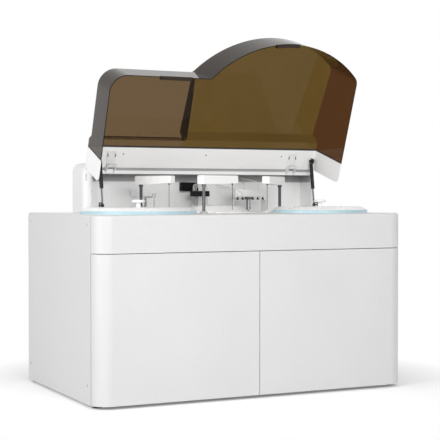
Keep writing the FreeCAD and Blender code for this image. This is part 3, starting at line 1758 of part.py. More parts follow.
def strut_stud(x):
    """Stud and lug on the lid for the top eye."""
    outward = 1 if x > 0 else -1
    inside = lid_roof_w - lid_wall
    start = lid_point(x - outward * strut_eye_width / 2, strut_top_u, strut_top_w)
    reach = strut_eye_width / 2 + strut_side_gap + strut_plate
    end = lid_point(x + outward * reach, strut_top_u, strut_top_w)
    stud = rod_between(strut_stud_radius, start, end)
    x0 = x + outward * (strut_eye_width / 2 + strut_side_gap)
    x1 = x + outward * reach
    xs = sorted((x0, x1))
    lug = Part.makeBox(xs[1] - xs[0], strut_lug_half * 2, inside - strut_top_w + strut_lug_half,
                       lid_point(xs[0], strut_top_u + strut_lug_half,
                                 strut_top_w - strut_lug_half))
    return join([stud, lug])


def strut_base(x):
    """Plate bracket on the deck, with a wide hole round the strut's lower stud."""
    outward = 1 if x > 0 else -1
    x0 = x + outward * (strut_eye_width / 2 + strut_side_gap)
    x1 = x0 + outward * strut_plate
    xs = sorted((x0, x1))
    half = strut_plate_width / 2
    plate = box(xs[0], xs[1], strut_base_y - half, strut_base_y + half,
                deck_height, strut_base_z + half)
    fxs = sorted((x0, x0 + outward * strut_plate_width / 2))
    foot = box(fxs[0], fxs[1], strut_base_y - half, strut_base_y + half,
               deck_height, deck_height + strut_plate)
    body = join([plate, foot])
    return body.cut(Part.makeCylinder(strut_hole_radius, strut_plate * 4,
                                      V(xs[0] - strut_plate, strut_base_y, strut_base_z), RIGHT))


def jug(x):
    low = tray_floor_top
    high = low + jug_height
    body = rounded_box(x - jug_width / 2, x + jug_width / 2, jug_y - jug_depth / 2,
                       jug_y + jug_depth / 2, low, high, jug_edge)
    neck = rod(jug_neck_radius, x, jug_y, high, high + jug_neck_height)
    cap = rod(jug_cap_radius, x, jug_y, high + jug_neck_height / 2,
              high + jug_neck_height / 2 + jug_cap_height)
    return join([body, neck, cap])


def save_cabinet():
    save("base_tray", base_tray())
    save("levelling_feet", levelling_feet())
    save("cabinet_frame", cabinet_frame())
    save("side_panels", group([side_panel(-1), side_panel(1)]))
    save("panel_screws", group([panel_screws(), housing_screws()]))
    save("rear_panel", rear_panel())
    save("power_inlet", group([power_inlet(), switch_body()]))
    save("switch_rocker", switch_rocker())
    save("front_fascia", fascia())
    save("left_door", door(-1))
    save("right_door", door(1))
    save("door_pivots", door_pivots())
    save("deck_plate", deck_plate())
    save("wash_wells", group([solid for x, y in well_places() for solid in wash_well(x, y)]))
    save("deck_guides", deck_guides())
    save("supply_jugs", group([jug(wash_jug_x), jug(waste_jug_x)]))


def save_turntables():
    motor_top = deck_under - tub_depth
    plate_low = turntable_low()
    save("turntable_tubs", group([
        tub(left_disc_x, left_disc_y, left_disc_radius - tub_land, tub_depth),
        tub(right_disc_x, right_disc_y, right_disc_radius - tub_land, tub_depth),
        tub(ring_x, ring_y, ring_tub_radius(), ring_tub_depth)]))
    save("turntable_motors", group([motor(left_disc_x, left_disc_y, motor_top),
                                    motor(right_disc_x, right_disc_y, motor_top),
                                    motor(ring_x, ring_y, ring_motor_top())]))
    save("sample_turntable", join([sample_plate(),
                                   spindle(left_disc_x, left_disc_y, plate_low, motor_top)]))
    save("sample_tubes", sample_tubes())
    save("reagent_turntable", join([reagent_plate(),
                                    spindle(right_disc_x, right_disc_y, plate_low, motor_top)]))
    save("reagent_bottles", reagent_bottles())
    save("sample_cover", group([disc_cover(left_disc_x, left_disc_y, left_disc_radius, -1),
                                lift_knob(left_disc_x, left_disc_y)]))
    save("reagent_cover", group([disc_cover(right_disc_x, right_disc_y, right_disc_radius, 1),
                                 lift_knob(right_disc_x, right_disc_y)]))
    save("reaction_cover", reaction_cover())
    save("reaction_ring", join([reaction_ring(),
                                spindle(ring_x, ring_y, ring_low(), ring_motor_top())]))


def save_arms():
    for name, x, y, angle in zip(arm_names, arm_x, arm_y, arm_rest_angle):
        save(name + "_shaft", placed(probe_shaft(), x, y, angle))
        save(name + "_cover", placed(probe_cover(), x, y, angle))
        save(name + "_needle", placed(probe_needle(), x, y, angle))
    save("mixer_shaft", mixer_shaft())
    save("mixer_arm", placed(mixer_arm(), mixer_x, mixer_y, mixer_rest_angle))
    paddle_top = mixer_top + mixer_motor_height / 2
    save("mixer_stirrer", placed(stirrer(paddle_top, stirrer_tip, mixer_radius, 0),
                                 mixer_x, mixer_y, mixer_rest_angle))
    post_top = post_mixer_top - post_mixer_box_height / 2
    save("post_mixer", post_mixer())
    save("post_mixer_stirrer", stirrer(post_top, stirrer_tip, post_mixer_x, post_mixer_y))


def save_wash_and_housing():
    save("wash_block", wash_block())
    save("wash_nozzles", wash_nozzles())
    save("wash_tubing", wash_tubing())
    save("manifold_bridge", manifold_bridge())
    save("manifold_box", manifold_box())
    save("manifold_fittings", manifold_fittings())
    save("manifold_tubing", manifold_tubing())
    save("rear_housing", rear_housing())
    save("housing_lip", housing_lip())
    save("wall_boxes", group([duct_box(), sensor_box()]))


def save_lid():
    back, seal, canopy = lid_pieces()
    save("lid_frame", open_lid(back))
    save("lid_gasket", open_lid(seal))
    save("lid_canopy", open_lid(canopy))
    save("lid_grips", open_lid(lid_grips()))
    save("hinge_bases", group([hinge_base(hinge_left_x), hinge_base(hinge_right_x),
                               hinge_pin(hinge_left_x), hinge_pin(hinge_right_x)]))
    save("hinge_leaves", open_lid(group([hinge_leaf_part(hinge_left_x),
                                         hinge_leaf_part(hinge_right_x)])))
    save("lid_studs", open_lid(group([strut_stud(strut_left_x), strut_stud(strut_right_x),
                                      lid_screws()])))
    save("strut_bases", group([strut_base(strut_left_x), strut_base(strut_right_x)]))
    save("strut_cylinders", group([strut_cylinder(strut_left_x), strut_cylinder(strut_right_x)]))
    save("strut_rods", group([strut_rod(strut_left_x), strut_rod(strut_right_x)]))


def main():
    os.makedirs("parts", exist_ok=True)
    save_cabinet()
    save_turntables()
    save_arms()
    save_wash_and_housing()
    save_lid()


main()
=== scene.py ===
# %% [markdown]
# A floor-standing chemistry analyzer with its smoked lid raised.
# The frame holds every solid piece at its real size, in metres. This lesson keeps
# those pieces where they are, gives each one the finish of its real material, and
# adds the small pieces that solids leave out, such as screw recesses.

# %% Load the frame
import bpy
import bmesh
import math
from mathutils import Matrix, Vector


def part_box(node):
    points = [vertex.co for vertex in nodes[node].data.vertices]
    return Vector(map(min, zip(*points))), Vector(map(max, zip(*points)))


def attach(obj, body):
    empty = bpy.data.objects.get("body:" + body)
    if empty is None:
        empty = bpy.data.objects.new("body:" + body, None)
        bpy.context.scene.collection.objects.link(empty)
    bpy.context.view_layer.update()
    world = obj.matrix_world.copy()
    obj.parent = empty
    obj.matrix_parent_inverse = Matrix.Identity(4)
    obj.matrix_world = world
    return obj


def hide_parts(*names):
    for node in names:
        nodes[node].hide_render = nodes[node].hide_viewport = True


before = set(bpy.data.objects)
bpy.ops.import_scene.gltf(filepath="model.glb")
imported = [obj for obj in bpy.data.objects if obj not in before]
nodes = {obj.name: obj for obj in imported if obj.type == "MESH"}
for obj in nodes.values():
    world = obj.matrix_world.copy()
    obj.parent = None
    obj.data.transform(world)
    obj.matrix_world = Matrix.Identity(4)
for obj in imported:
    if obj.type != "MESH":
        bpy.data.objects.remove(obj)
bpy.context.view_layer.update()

# %% [markdown]
# The camera comes first, because every later choice is judged through it.
# The cabinet is photographed from the front left with a long lens. Long lenses keep
# the upright edges nearly parallel. The horizon lies a little over the middle of the
# picture, so the camera looks down by about one degree.

# %% Camera
eye = Vector((-2.7977, -5.7892, 0.993))
degrees_left_of_front = 26.1
degrees_down = 1.17
lens_mm = 100.15
film_width_mm = 36.0
far_limit = 200.0


def put_in_scene(thing):
    """An object shows only once a collection of the scene holds it."""
    bpy.context.scene.collection.objects.link(thing)
    return thing


camera_data = bpy.data.cameras.new("studio_camera")
camera_data.lens = lens_mm
camera_data.sensor_width = film_width_mm
camera_data.clip_end = far_limit
camera = put_in_scene(bpy.data.objects.new("studio_camera", camera_data))
camera.location = eye
camera.rotation_euler = (math.radians(90 - degrees_down), 0.0,
                         math.radians(-degrees_left_of_front))
bpy.context.scene.camera = camera
bpy.context.scene.view_settings.view_transform = "Standard"
print("camera", [round(v, 2) for v in eye], "lens", camera_data.lens)

# %% [markdown]
# Materials are trees of nodes. A few short helpers keep the rest readable: they add a
# node, set its plain values or feed its sockets, do sums on numbers and vectors, and
# give a point's place, its surface and noise. Every piece keeps its place in its own
# mesh, so the Object coordinate of a point is its place in the frame, in metres, and
# noise scales are real sizes.

# %% Helpers for nodes
def add(tree, kind, **settings):
    node = tree.nodes.new(kind)
    for key, value in settings.items():
        setattr(node, key, value)
    return node


def set_values(node, **values):
    """Sets plain values on sockets. An underscore stands for the space in a name."""
    for key, value in values.items():
        node.inputs[key.replace("_", " ")].default_value = value
    return node


def feed(tree, value, socket):
    """Joins an output to a socket, or sets the socket when the value is a number."""
    if isinstance(value, (int, float)):
        socket.default_value = value
    else:
        tree.links.new(value, socket)


def maths(tree, operation, *values):
    node = add(tree, "ShaderNodeMath", operation=operation)
    for socket, value in zip(node.inputs, values):
        feed(tree, value, socket)
    return node.outputs[0]


def vector_maths(tree, operation, *vectors):
    node = add(tree, "ShaderNodeVectorMath", operation=operation)
    for socket, vector in zip(node.inputs, vectors):
        tree.links.new(vector, socket)
    return node.outputs


def axes(tree, vector):
    """The X, Y and Z outputs of a vector."""
    node = add(tree, "ShaderNodeSeparateXYZ")
    tree.links.new(vector, node.inputs[0])
    return node.outputs


def place(tree):
    return add(tree, "ShaderNodeTexCoord").outputs["Object"]


def geometry(tree, name):
    return add(tree, "ShaderNodeNewGeometry").outputs[name]


def noise(tree, vector, scale, detail=2.0):
    node = set_values(add(tree, "ShaderNodeTexNoise"), Detail=detail)
    tree.links.new(vector, node.inputs["Vector"])
    feed(tree, scale, node.inputs["Scale"])
    return node.outputs["Fac"]


print("node helpers ready")

# %% [markdown]
# A node group is a small machine that several materials share. Its sockets are made
# first, then the nodes inside are joined to them. This helper makes the empty group
# with its input and output nodes, so that each effect below is only a few lines.

# %% Helper for node groups
FLOAT = "NodeSocketFloat"
VECTOR = "NodeSocketVector"


def start_group(name, inputs, outputs):
    tree = bpy.data.node_groups.new(name, "ShaderNodeTree")
    for label, kind, value in inputs:
        socket = tree.interface.new_socket(name=label, in_out="INPUT", socket_type=kind)
        socket.default_value = value
    for label in outputs:
        tree.interface.new_socket(name=label, in_out="OUTPUT", socket_type=FLOAT)
    inside, outside = tree.nodes.new("NodeGroupInput"), tree.nodes.new("NodeGroupOutput")
    return tree, inside.outputs, outside.inputs


print("group helper ready")

# %% [markdown]
# Cloudy tone: no real surface has one even value. A broad and a fine noise together
# give a slow drift in colour and roughness, as paint thickness and handling do.
# The output runs from 0 to 1 around a half.

# %% Cloudy tone group
cloud, cloud_in, cloud_out = start_group(
    "cloudy_tone", [("Broad", FLOAT, 3.0), ("Fine", FLOAT, 60.0)], ["Tone"])
broad_share, fine_share = 0.65, 0.35
where = place(cloud)
broad, fine = [noise(cloud, where, cloud_in[name], detail=3.0) for name in ("Broad", "Fine")]
cloud.links.new(maths(cloud, "MULTIPLY_ADD", broad, broad_share,
                      maths(cloud, "MULTIPLY", fine, fine_share)), cloud_out["Tone"])
print("group", cloud.name)

# %% [markdown]
# Powder coat: the paint on sheet steel melts into tiny soft hills, called orange
# peel. A fine noise makes its height, on a slower wave. The same group serves moulded
# plastic, whose spark-eroded mould leaves a finer and shallower pattern.

# %% Orange peel group
peel, peel_in, peel_out = start_group(
    "orange_peel", [("Scale", FLOAT, 500.0), ("Depth", FLOAT, 0.3)], ["Height"])
wave_to_hill = 0.12
where = place(peel)
hills = noise(peel, where, peel_in["Scale"], detail=2.0)
waves = noise(peel, where, maths(peel, "MULTIPLY", peel_in["Scale"], wave_to_hill), detail=1.0)
peel.links.new(maths(peel, "MULTIPLY", maths(peel, "ADD", hills, waves), peel_in["Depth"]),
               peel_out["Height"])
print("group", peel.name)

# %% [markdown]
# Dust settles on faces that look up and near the floor. The group reads the normal
# for the first and the height for the second, and breaks both up with noise.

# %% Settled dust group
dust, dust_in, dust_out = start_group(
    "settled_dust", [("Amount", FLOAT, 0.3), ("Floor band", FLOAT, 0.12)], ["Mask"])
level_only = 4.0
level_share, low_share = 0.5, 0.6
speck_scale, speck_detail = 35.0, 5.0
faces_up = maths(dust, "MAXIMUM", axes(dust, geometry(dust, "Normal"))["Z"], 0.0)
level = maths(dust, "POWER", faces_up, level_only)
height = maths(dust, "DIVIDE", axes(dust, place(dust))["Z"], dust_in["Floor band"])
low = maths(dust, "MAXIMUM", maths(dust, "SUBTRACT", 1.0, height), 0.0)
both = maths(dust, "ADD", maths(dust, "MULTIPLY", level, level_share),
             maths(dust, "MULTIPLY", low, low_share))
heap = maths(dust, "MULTIPLY", both, noise(dust, place(dust), speck_scale, speck_detail))
dust.links.new(maths(dust, "MULTIPLY", heap, dust_in["Amount"]), dust_out["Mask"])
print("group", dust.name)

# %% [markdown]
# Edge wear: hands and cloths polish the outer edges. Pointiness is high where a
# surface bends outwards, so it makes the mask, and noise keeps it from being even.

# %% Edge wear group
wear, wear_in, wear_out = start_group("edge_wear", [("Amount", FLOAT, 0.5)], ["Mask"])
flat_pointiness, edge_gain, rub_scale = 0.52, 8.0, 22.0
bend = maths(wear, "SUBTRACT", geometry(wear, "Pointiness"), flat_pointiness)
sharp = maths(wear, "MULTIPLY", maths(wear, "MAXIMUM", bend, 0.0), edge_gain)
rubbed = maths(wear, "MULTIPLY", sharp, noise(wear, place(wear), rub_scale))
wear.links.new(maths(wear, "MINIMUM", maths(wear, "MULTIPLY", rubbed, wear_in["Amount"]), 1.0),
               wear_out["Mask"])
print("group", wear.name)

# %% [markdown]
# Ground metal: shafts and rods are ground along their length. Noise that is stretched
# along one direction gives fine lines, for the height and for the colour.

# %% Ground lines group
lines, lines_in, lines_out = start_group(
    "ground_lines", [("Across", FLOAT, 1500.0), ("Along", FLOAT, 40.0)], ["Height", "Tone"])
stretch = add(lines, "ShaderNodeCombineXYZ")
for axis, name in (("X", "Across"), ("Y", "Across"), ("Z", "Along")):
    lines.links.new(lines_in[name], stretch.inputs[axis])
scaled = vector_maths(lines, "MULTIPLY", place(lines), stretch.outputs[0])[0]
ground = noise(lines, scaled, 1.0)
for name in ("Height", "Tone"):
    lines.links.new(ground, lines_out[name])
print("group", lines.name)

# %% [markdown]
# Each finish is one function that starts from the same steps: place the shared
# groups, mix two close colours by tone, and feed height into a Bump node. A Bevel
# node rounds the tight edges for the light, as real pieces are never knife sharp.
# The shader itself stays in the material, and so does any value that is the same
# all over it, because the export reads those from the shader.

# %% Helpers for finishes
noise_low, noise_high = 0.3, 0.7


def use(tree, group, **values):
    return set_values(add(tree, "ShaderNodeGroup", node_tree=group), **values).outputs


def cloudy(tree, broad, fine):
    return use(tree, cloud, Broad=broad, Fine=fine)["Tone"]


def mix_colour(tree, factor, a, b):
    """Colour a where the factor is 0, and b where it is 1."""
    node = add(tree, "ShaderNodeMix", data_type="RGBA")
    feed(tree, factor, node.inputs[0])
    colour_a, colour_b = node.inputs[6], node.inputs[7]
    for socket, value in ((colour_a, a), (colour_b, b)):
        if isinstance(value, tuple):
            socket.default_value = (*value, 1.0)
        else:
            tree.links.new(value, socket)
    return node.outputs[2]


def spread(tree, tone, low, high):
    """Widens the noise, which stays mostly near its middle, to low and high."""
    node = set_values(add(tree, "ShaderNodeMapRange"), From_Min=noise_low,
                      From_Max=noise_high, To_Min=low, To_Max=high)
    tree.links.new(tone, node.inputs["Value"])
    return node.outputs[0]


def two_tones(tree, tone, light, dark):
    return mix_colour(tree, spread(tree, tone, 0.0, 1.0), dark, light)


def finish_start(name):
    material = bpy.data.materials.new(name)
    material.use_nodes = True
    tree = material.node_tree
    tree.nodes.clear()
    output = add(tree, "ShaderNodeOutputMaterial")
    shader = add(tree, "ShaderNodeBsdfPrincipled")
    tree.links.new(shader.outputs[0], output.inputs["Surface"])
    return material, tree, shader


def bump_normal(tree, shader, height, strength, distance, edge_radius=0.0):
    bump = set_values(add(tree, "ShaderNodeBump"), Strength=strength, Distance=distance)
    tree.links.new(height, bump.inputs["Height"])
    if edge_radius:
        bevel = set_values(add(tree, "ShaderNodeBevel", samples=4), Radius=edge_radius)
        tree.links.new(bevel.outputs[0], bump.inputs["Normal"])
    tree.links.new(bump.outputs[0], shader.inputs["Normal"])


def grey(value):
    return (value, value, value)


print("finish helpers ready")

# %% [markdown]
# Paint and moulded plastic differ only in numbers: a coarser and deeper peel reads as
# powder coat, a finer one as plastic. Dust lies over the colour, and pieces that are
# handled show a worn colour along their edges.

# %% Coated finish
dust_colour = (0.62, 0.6, 0.56)
floor_band = 0.12
wear_amount = 0.6
coat_fine = 70.0
peel_strength, peel_height, coated_edge = 0.25, 0.0004, 0.0012


def coated(name, light, dark, rough, scale, depth, dusty, worn=None, specular=0.5, broad=3.0):
    """Powder coat or moulded plastic, by the scale and depth of its peel."""
    material, tree, shader = finish_start(name)
    tone = cloudy(tree, broad, coat_fine)
    base = two_tones(tree, tone, light, dark)
    if worn:
        base = mix_colour(tree, use(tree, wear, Amount=wear_amount)["Mask"], base, worn)
    mask = use(tree, dust, Amount=dusty, Floor_band=floor_band)["Mask"]
    tree.links.new(mix_colour(tree, mask, base, dust_colour), shader.inputs["Base Color"])
    tree.links.new(spread(tree, tone, *rough), shader.inputs["Roughness"])
    set_values(shader, Specular_IOR_Level=specular)
    height = use(tree, peel, Scale=scale, Depth=depth)["Height"]
    bump_normal(tree, shader, height, peel_strength, peel_height, coated_edge)
    return material


print("coated finish ready")

# %% [markdown]
# White sheet steel: the doors, fascia, sides and deck are bent sheet under a white
# satin powder coat. It is nearly neutral, and the deck is brighter than the cabinet.

# %% White sheet steel
white_sheet = coated("white_powder_coat", grey(0.615), (0.585, 0.586, 0.588),
                     rough=(0.36, 0.46), scale=420.0, depth=0.3, dusty=0.25)
deck_sheet = coated("white_deck_coat", grey(0.82), grey(0.79),
                    rough=(0.3, 0.4), scale=520.0, depth=0.2, dusty=0.15)
print("sheet finishes", white_sheet.name, deck_sheet.name)

# %% [markdown]
# White mouldings: the hood, arm covers and turntable covers are moulded plastic.
# Plastic is smoother than paint, with a clearer highlight and a very fine texture.

# %% White mouldings
white_moulding = coated("white_moulding", (0.86, 0.86, 0.856), (0.83, 0.83, 0.826),
                        rough=(0.26, 0.34), scale=900.0, depth=0.12, dusty=0.12, broad=5.0)
hood_moulding = coated("hood_moulding", grey(0.77), (0.74, 0.742, 0.745),
                       rough=(0.32, 0.4), scale=700.0, depth=0.15, dusty=0.2, broad=2.5)
lid_band = coated("lid_band_moulding", (0.87, 0.87, 0.867), (0.845, 0.845, 0.842),
                  rough=(0.28, 0.36), scale=800.0, depth=0.14, dusty=0.1, broad=4.0)
bright_moulding = coated("bright_moulding", (0.95, 0.95, 0.948), (0.92, 0.92, 0.918),
                         rough=(0.26, 0.34), scale=900.0, depth=0.12, dusty=0.08)
grey_moulding = coated("grey_moulding", (0.46, 0.46, 0.465), (0.4, 0.4, 0.405),
                       rough=(0.3, 0.42), scale=900.0, depth=0.2, dusty=0.2, worn=grey(0.6))
print("mouldings", white_moulding.name, hood_moulding.name, lid_band.name)

# %% [markdown]
# Some pieces carry two colours on one solid: the turntable covers are white with a
# pale blue skirt, the brow's upper part is painted grey as a painted shadow, the hood is
# painted lighter in its open cavity as painted light, and of the two wall boxes one is
# black and one white.
# A mask node group tells whether a point lies past a plane across one axis.

# %% Region mask group
region, region_in, region_out = start_group(
    "region_mask", [("Axis", VECTOR, (0.0, 0.0, 1.0)), ("Edge", FLOAT, 0.0),
                    ("Softness", FLOAT, 0.0004)], ["Mask"])
along_axis = vector_maths(region, "DOT_PRODUCT", place(region), region_in["Axis"])["Value"]
past = maths(region, "SUBTRACT", along_axis, region_in["Edge"])
soft = maths(region, "DIVIDE", past, region_in["Softness"])
region.links.new(maths(region, "MINIMUM", maths(region, "MAXIMUM", soft, 0.0), 1.0),
                 region_out["Mask"])
print("group", region.name)

# %% [markdown]
# The material multiplies such masks, so that several planes enclose a region, and
# mixes a second pair of colours over its base there. An axis may point backwards:
# then the region is the side below the plane, and its edge is negative too.

# %% Second colour by region
left_to_right, right_to_left = (1.0, 0.0, 0.0), (-1.0, 0.0, 0.0)
front_to_back = (0.0, 1.0, 0.0)
upwards, downwards = (0.0, 0.0, 1.0), (0.0, 0.0, -1.0)
second_broad, second_fine = 6.0, 90.0


def second_colour(material, regions, light, dark):
    """Each region is an axis, the plane's distance along it, and the edge's softness."""
    tree = material.node_tree
    shader = next(n for n in tree.nodes if n.type == "BSDF_PRINCIPLED")
    base = shader.inputs["Base Color"].links[0].from_socket
    mask = None
    for axis, edge, softness in regions:
        one = use(tree, region, Axis=axis, Edge=edge, Softness=softness)["Mask"]
        mask = maths(tree, "MULTIPLY", mask, one) if mask else one
    other = two_tones(tree, cloudy(tree, second_broad, second_fine), light, dark)
    tree.links.new(mix_colour(tree, mask, base, other), shader.inputs["Base Color"])


skirt_height = 0.0162
skirt_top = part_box("sample_cover")[0].z + skirt_height
disc_cover = coated("turntable_cover", grey(0.86), grey(0.835),
                    rough=(0.24, 0.32), scale=900.0, depth=0.12, dusty=0.1)
second_colour(disc_cover, [(downwards, -skirt_top, 0.0002)],
              (0.435, 0.60, 0.655), (0.41, 0.565, 0.62))
print("cover skirt up to", round(skirt_top, 4))

# %% [markdown]
# The brow over the opening is painted much like the deck, and its upper part is a
# painted shadow in grey, the shade under the lid's edge. The shadow starts at a share of
# the brow's own height.

# %% Brow
painted_shadow_from = 0.3
lip_low, lip_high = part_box("housing_lip")
painted_shadow_edge = lip_low.z + painted_shadow_from * (lip_high.z - lip_low.z)
brow = coated("brow_coat", grey(0.86), grey(0.83),
              rough=(0.3, 0.4), scale=520.0, depth=0.2, dusty=0.15)
# Painted shadow: the brow's upper part is grey, the shade under the lid's edge.
second_colour(brow, [(upwards, painted_shadow_edge, 0.0006)], (0.36, 0.36, 0.365), (0.32, 0.32, 0.325))
print("brow strip from", round(painted_shadow_edge, 4))

# %% [markdown]
# Inside the hood's open cavity the wall is painted lighter than the outer shell, as
# painted light. Planes just inside the hood's front, sides and the brow's lower edge
# enclose it. Right under the brow a band is painted grey as a painted shadow, with a
# soft lower edge.

# %% Hood cavity
hood_low, hood_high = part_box("rear_housing")
shell = 0.012
front_step = 0.006
above_brow = 0.001
crisp, blurred = 0.001, 0.005
painted_shadow_band = 0.041
cavity = [(front_to_back, hood_low.y + front_step, crisp),
          (left_to_right, hood_low.x + shell, crisp),
          (right_to_left, shell - hood_high.x, crisp),
          (downwards, -(lip_low.z + above_brow), crisp)]
# Painted light: the cavity's wall gets a lighter colour than the rest of the same moulding.
second_colour(hood_moulding, cavity, (0.88, 0.88, 0.878), (0.855, 0.855, 0.853))
# Painted shadow: a grey band right under the brow, inside the cavity.
second_colour(hood_moulding, cavity + [(upwards, lip_low.z - painted_shadow_band, blurred)],
              grey(0.4), (0.36, 0.36, 0.362))
print("cavity from x", round(hood_low.x + shell, 3), "to", round(hood_high.x - shell, 3))

# %% [markdown]
# Two boxes hang on the cavity's wall: a white one at the left and a black one at the
# right. Both solids are in one node, so the middle of its box parts their colours.

# %% Wall boxes
box_low, box_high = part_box("wall_boxes")
box_split = (box_low.x + box_high.x) / 2
wall_box = coated("wall_box_moulding", grey(0.006), grey(0.004), rough=(0.5, 0.65),
                  scale=1000.0, depth=0.3, dusty=0.03, specular=0.1)
second_colour(wall_box, [(right_to_left, -box_split, crisp)], grey(0.84), grey(0.81))
print("wall boxes split at", round(box_split, 3))

# %% [markdown]
# Smoked plastic: the canopy is one thick brown sheet that the light passes through.
# Seen square on it is golden, and seen along its surface the light crosses more
# plastic, so it turns dark. Layer Weight gives that angle. The transmission stays a
# plain value on the shader. Masks may paint reflection and shade onto parts of the
# sheet before it darkens.

# %% Smoked finish
smoke_broad, smoke_fine = 2.2, 14.0
smoke_share = 0.2
smoothest, roughest = 0.6, 1.6
sheet_wave, sheet_depth = 30.0, 0.1
sheet_strength, sheet_height = 0.05, 0.0006


def smoked(name, clear, deep, painted_tints=(), rough=0.02, through=0.97, ior=1.22):
    """Each painted tint, of painted reflection and painted shade, is a function that makes its
    mask in the tree, and its colour.
    """
    material, tree, shader = finish_start(name)
    tone = cloudy(tree, smoke_broad, smoke_fine)
    face = mix_colour(tree, spread(tree, tone, 0.0, smoke_share), clear, deep)
    for make_mask, colour in painted_tints:
        face = mix_colour(tree, make_mask(tree), face, colour)
    angle = set_values(add(tree, "ShaderNodeLayerWeight"), Blend=0.5)
    tree.links.new(mix_colour(tree, angle.outputs["Facing"], face, deep),
                   shader.inputs["Base Color"])
    tree.links.new(spread(tree, tone, rough * smoothest, rough * roughest),
                   shader.inputs["Roughness"])
    set_values(shader, Transmission_Weight=through, IOR=ior)
    height = use(tree, peel, Scale=sheet_wave, Depth=sheet_depth)["Height"]
    bump_normal(tree, shader, height, sheet_strength, sheet_height)
    return material


print("smoked finish ready")

# %% [markdown]
# The canopy's square lobe at the left is painted greyer as a painted reflection, and its
# right side wall is painted darker and redder than the golden face as painted shade, so
# two masks paint them. The split lies where the lobes meet. The grips on the rim are the
# same brown, but thick, so little light comes through.

# %% Canopy and grips
lobe_split = -0.066
wall_from = 0.3
sideways = 0.5


def painted_reflection_lobe(tree):
    return maths(tree, "LESS_THAN", axes(tree, place(tree))["X"], lobe_split)


def painted_shade_wall(tree):
    """1 where the canopy's right part faces the side."""
    turned = maths(tree, "ABSOLUTE", axes(tree, geometry(tree, "Normal"))["X"])
    return maths(tree, "MULTIPLY", maths(tree, "GREATER_THAN", turned, sideways),
                 maths(tree, "GREATER_THAN", axes(tree, place(tree))["X"], wall_from))


# Painted reflection greys the square lobe, and painted shade darkens the right side wall.
smoked_sheet = smoked("smoked_canopy", (0.158, 0.096, 0.024), (0.018, 0.008, 0.003),
                      painted_tints=[(painted_reflection_lobe, (0.16, 0.102, 0.048)),
                             (painted_shade_wall, (0.12, 0.05, 0.018))])
grip_brown = smoked("grip_brown", (0.03, 0.014, 0.006), (0.02, 0.009, 0.004), rough=0.2,
                    through=0.35, ior=1.4)
print("canopy finishes", smoked_sheet.name, grip_brown.name)

# %% [markdown]
# Fittings and the wash head are matt black, the gasket and feet are rubber, and the
# struts have a thin black paint. The tray, frame and turntables are primed grey, and
# the lid's hinges are painted white with worn edges.

# %% Dark and painted finishes
black_moulding = coated("black_moulding", (0.01, 0.01, 0.011), (0.006, 0.006, 0.007),
                        rough=(0.5, 0.65), scale=1100.0, depth=0.35, dusty=0.02,
                        worn=grey(0.04), specular=0.1)
dark_moulding = coated("dark_grey_moulding", (0.085, 0.085, 0.09), (0.06, 0.06, 0.065),
                       rough=(0.35, 0.5), scale=900.0, depth=0.25, dusty=0.25, worn=grey(0.16))
black_rubber = coated("black_rubber", (0.022, 0.021, 0.02), grey(0.014),
                      rough=(0.62, 0.78), scale=1400.0, depth=0.5, dusty=0.4)
strut_paint = coated("strut_black_paint", grey(0.008), grey(0.005),
                     rough=(0.34, 0.46), scale=900.0, depth=0.1, dusty=0.02,
                     worn=grey(0.04), specular=0.15)
grey_metal = coated("grey_primer", (0.42, 0.43, 0.44), (0.36, 0.37, 0.38),
                    rough=(0.45, 0.6), scale=500.0, depth=0.35, dusty=0.5)
hinge_paint = coated("hinge_white_paint", grey(0.86), grey(0.8),
                     rough=(0.28, 0.4), scale=700.0, depth=0.15, dusty=0.1, worn=grey(0.35))
print("dark and painted", black_moulding.name, dark_moulding.name, strut_paint.name)

# %% [markdown]
# Metals: shafts, needles and screws are ground or plated steel. The ground lines give
# the colour and the bump, and a cloudy tone gives the roughness, as fingers do.

# %% Metal finishes
metal_broad, metal_fine = 12.0, 160.0
line_strength, line_height, metal_edge = 0.15, 0.0001, 0.0005


def ground_metal(name, light, dark, rough=(0.2, 0.34), across=1500.0, along=40.0):
    material, tree, shader = finish_start(name)
    ground = use(tree, lines, Across=across, Along=along)
    tree.links.new(two_tones(tree, ground["Tone"], light, dark), shader.inputs["Base Color"])
    handled = cloudy(tree, metal_broad, metal_fine)
    tree.links.new(spread(tree, handled, *rough), shader.inputs["Roughness"])
    set_values(shader, Metallic=1.0)
    bump_normal(tree, shader, ground["Height"], line_strength, line_height, metal_edge)
    return material


rod_steel = ground_metal("strut_rod", grey(0.09), grey(0.05), rough=(0.16, 0.26))
steel = ground_metal("ground_steel", grey(0.24), grey(0.15))
column_steel = ground_metal("column_steel", grey(0.15), grey(0.09), rough=(0.24, 0.36))
dark_steel = ground_metal("blackened_steel", (0.075, 0.075, 0.077), (0.045, 0.045, 0.046),
                          rough=(0.28, 0.4))
plated = ground_metal("zinc_plate", grey(0.52), grey(0.36), rough=(0.24, 0.38),
                      across=300.0, along=300.0)
print("metals", steel.name, column_steel.name, dark_steel.name, plated.name)

# %% [markdown]
# Soft and clear plastics: jugs are milky, sample tubes are clear, hoses are white.
# The same shader does all three, with more or less light passing through.

# %% Clear and milky finishes
plastic_broad, plastic_fine = 8.0, 60.0
plastic_wave, plastic_depth = 200.0, 0.15
plastic_strength, plastic_height = 0.1, 0.0003
shade = 0.93
plastic_ior = 1.45


def clear_plastic(name, tint, through, rough):
    material, tree, shader = finish_start(name)
    tone = cloudy(tree, plastic_broad, plastic_fine)
    shaded = tuple(v * shade for v in tint)
    tree.links.new(two_tones(tree, tone, tint, shaded), shader.inputs["Base Color"])
    tree.links.new(spread(tree, tone, *rough), shader.inputs["Roughness"])
    set_values(shader, Transmission_Weight=through, IOR=plastic_ior)
    height = use(tree, peel, Scale=plastic_wave, Depth=plastic_depth)["Height"]
    bump_normal(tree, shader, height, plastic_strength, plastic_height)
    return material


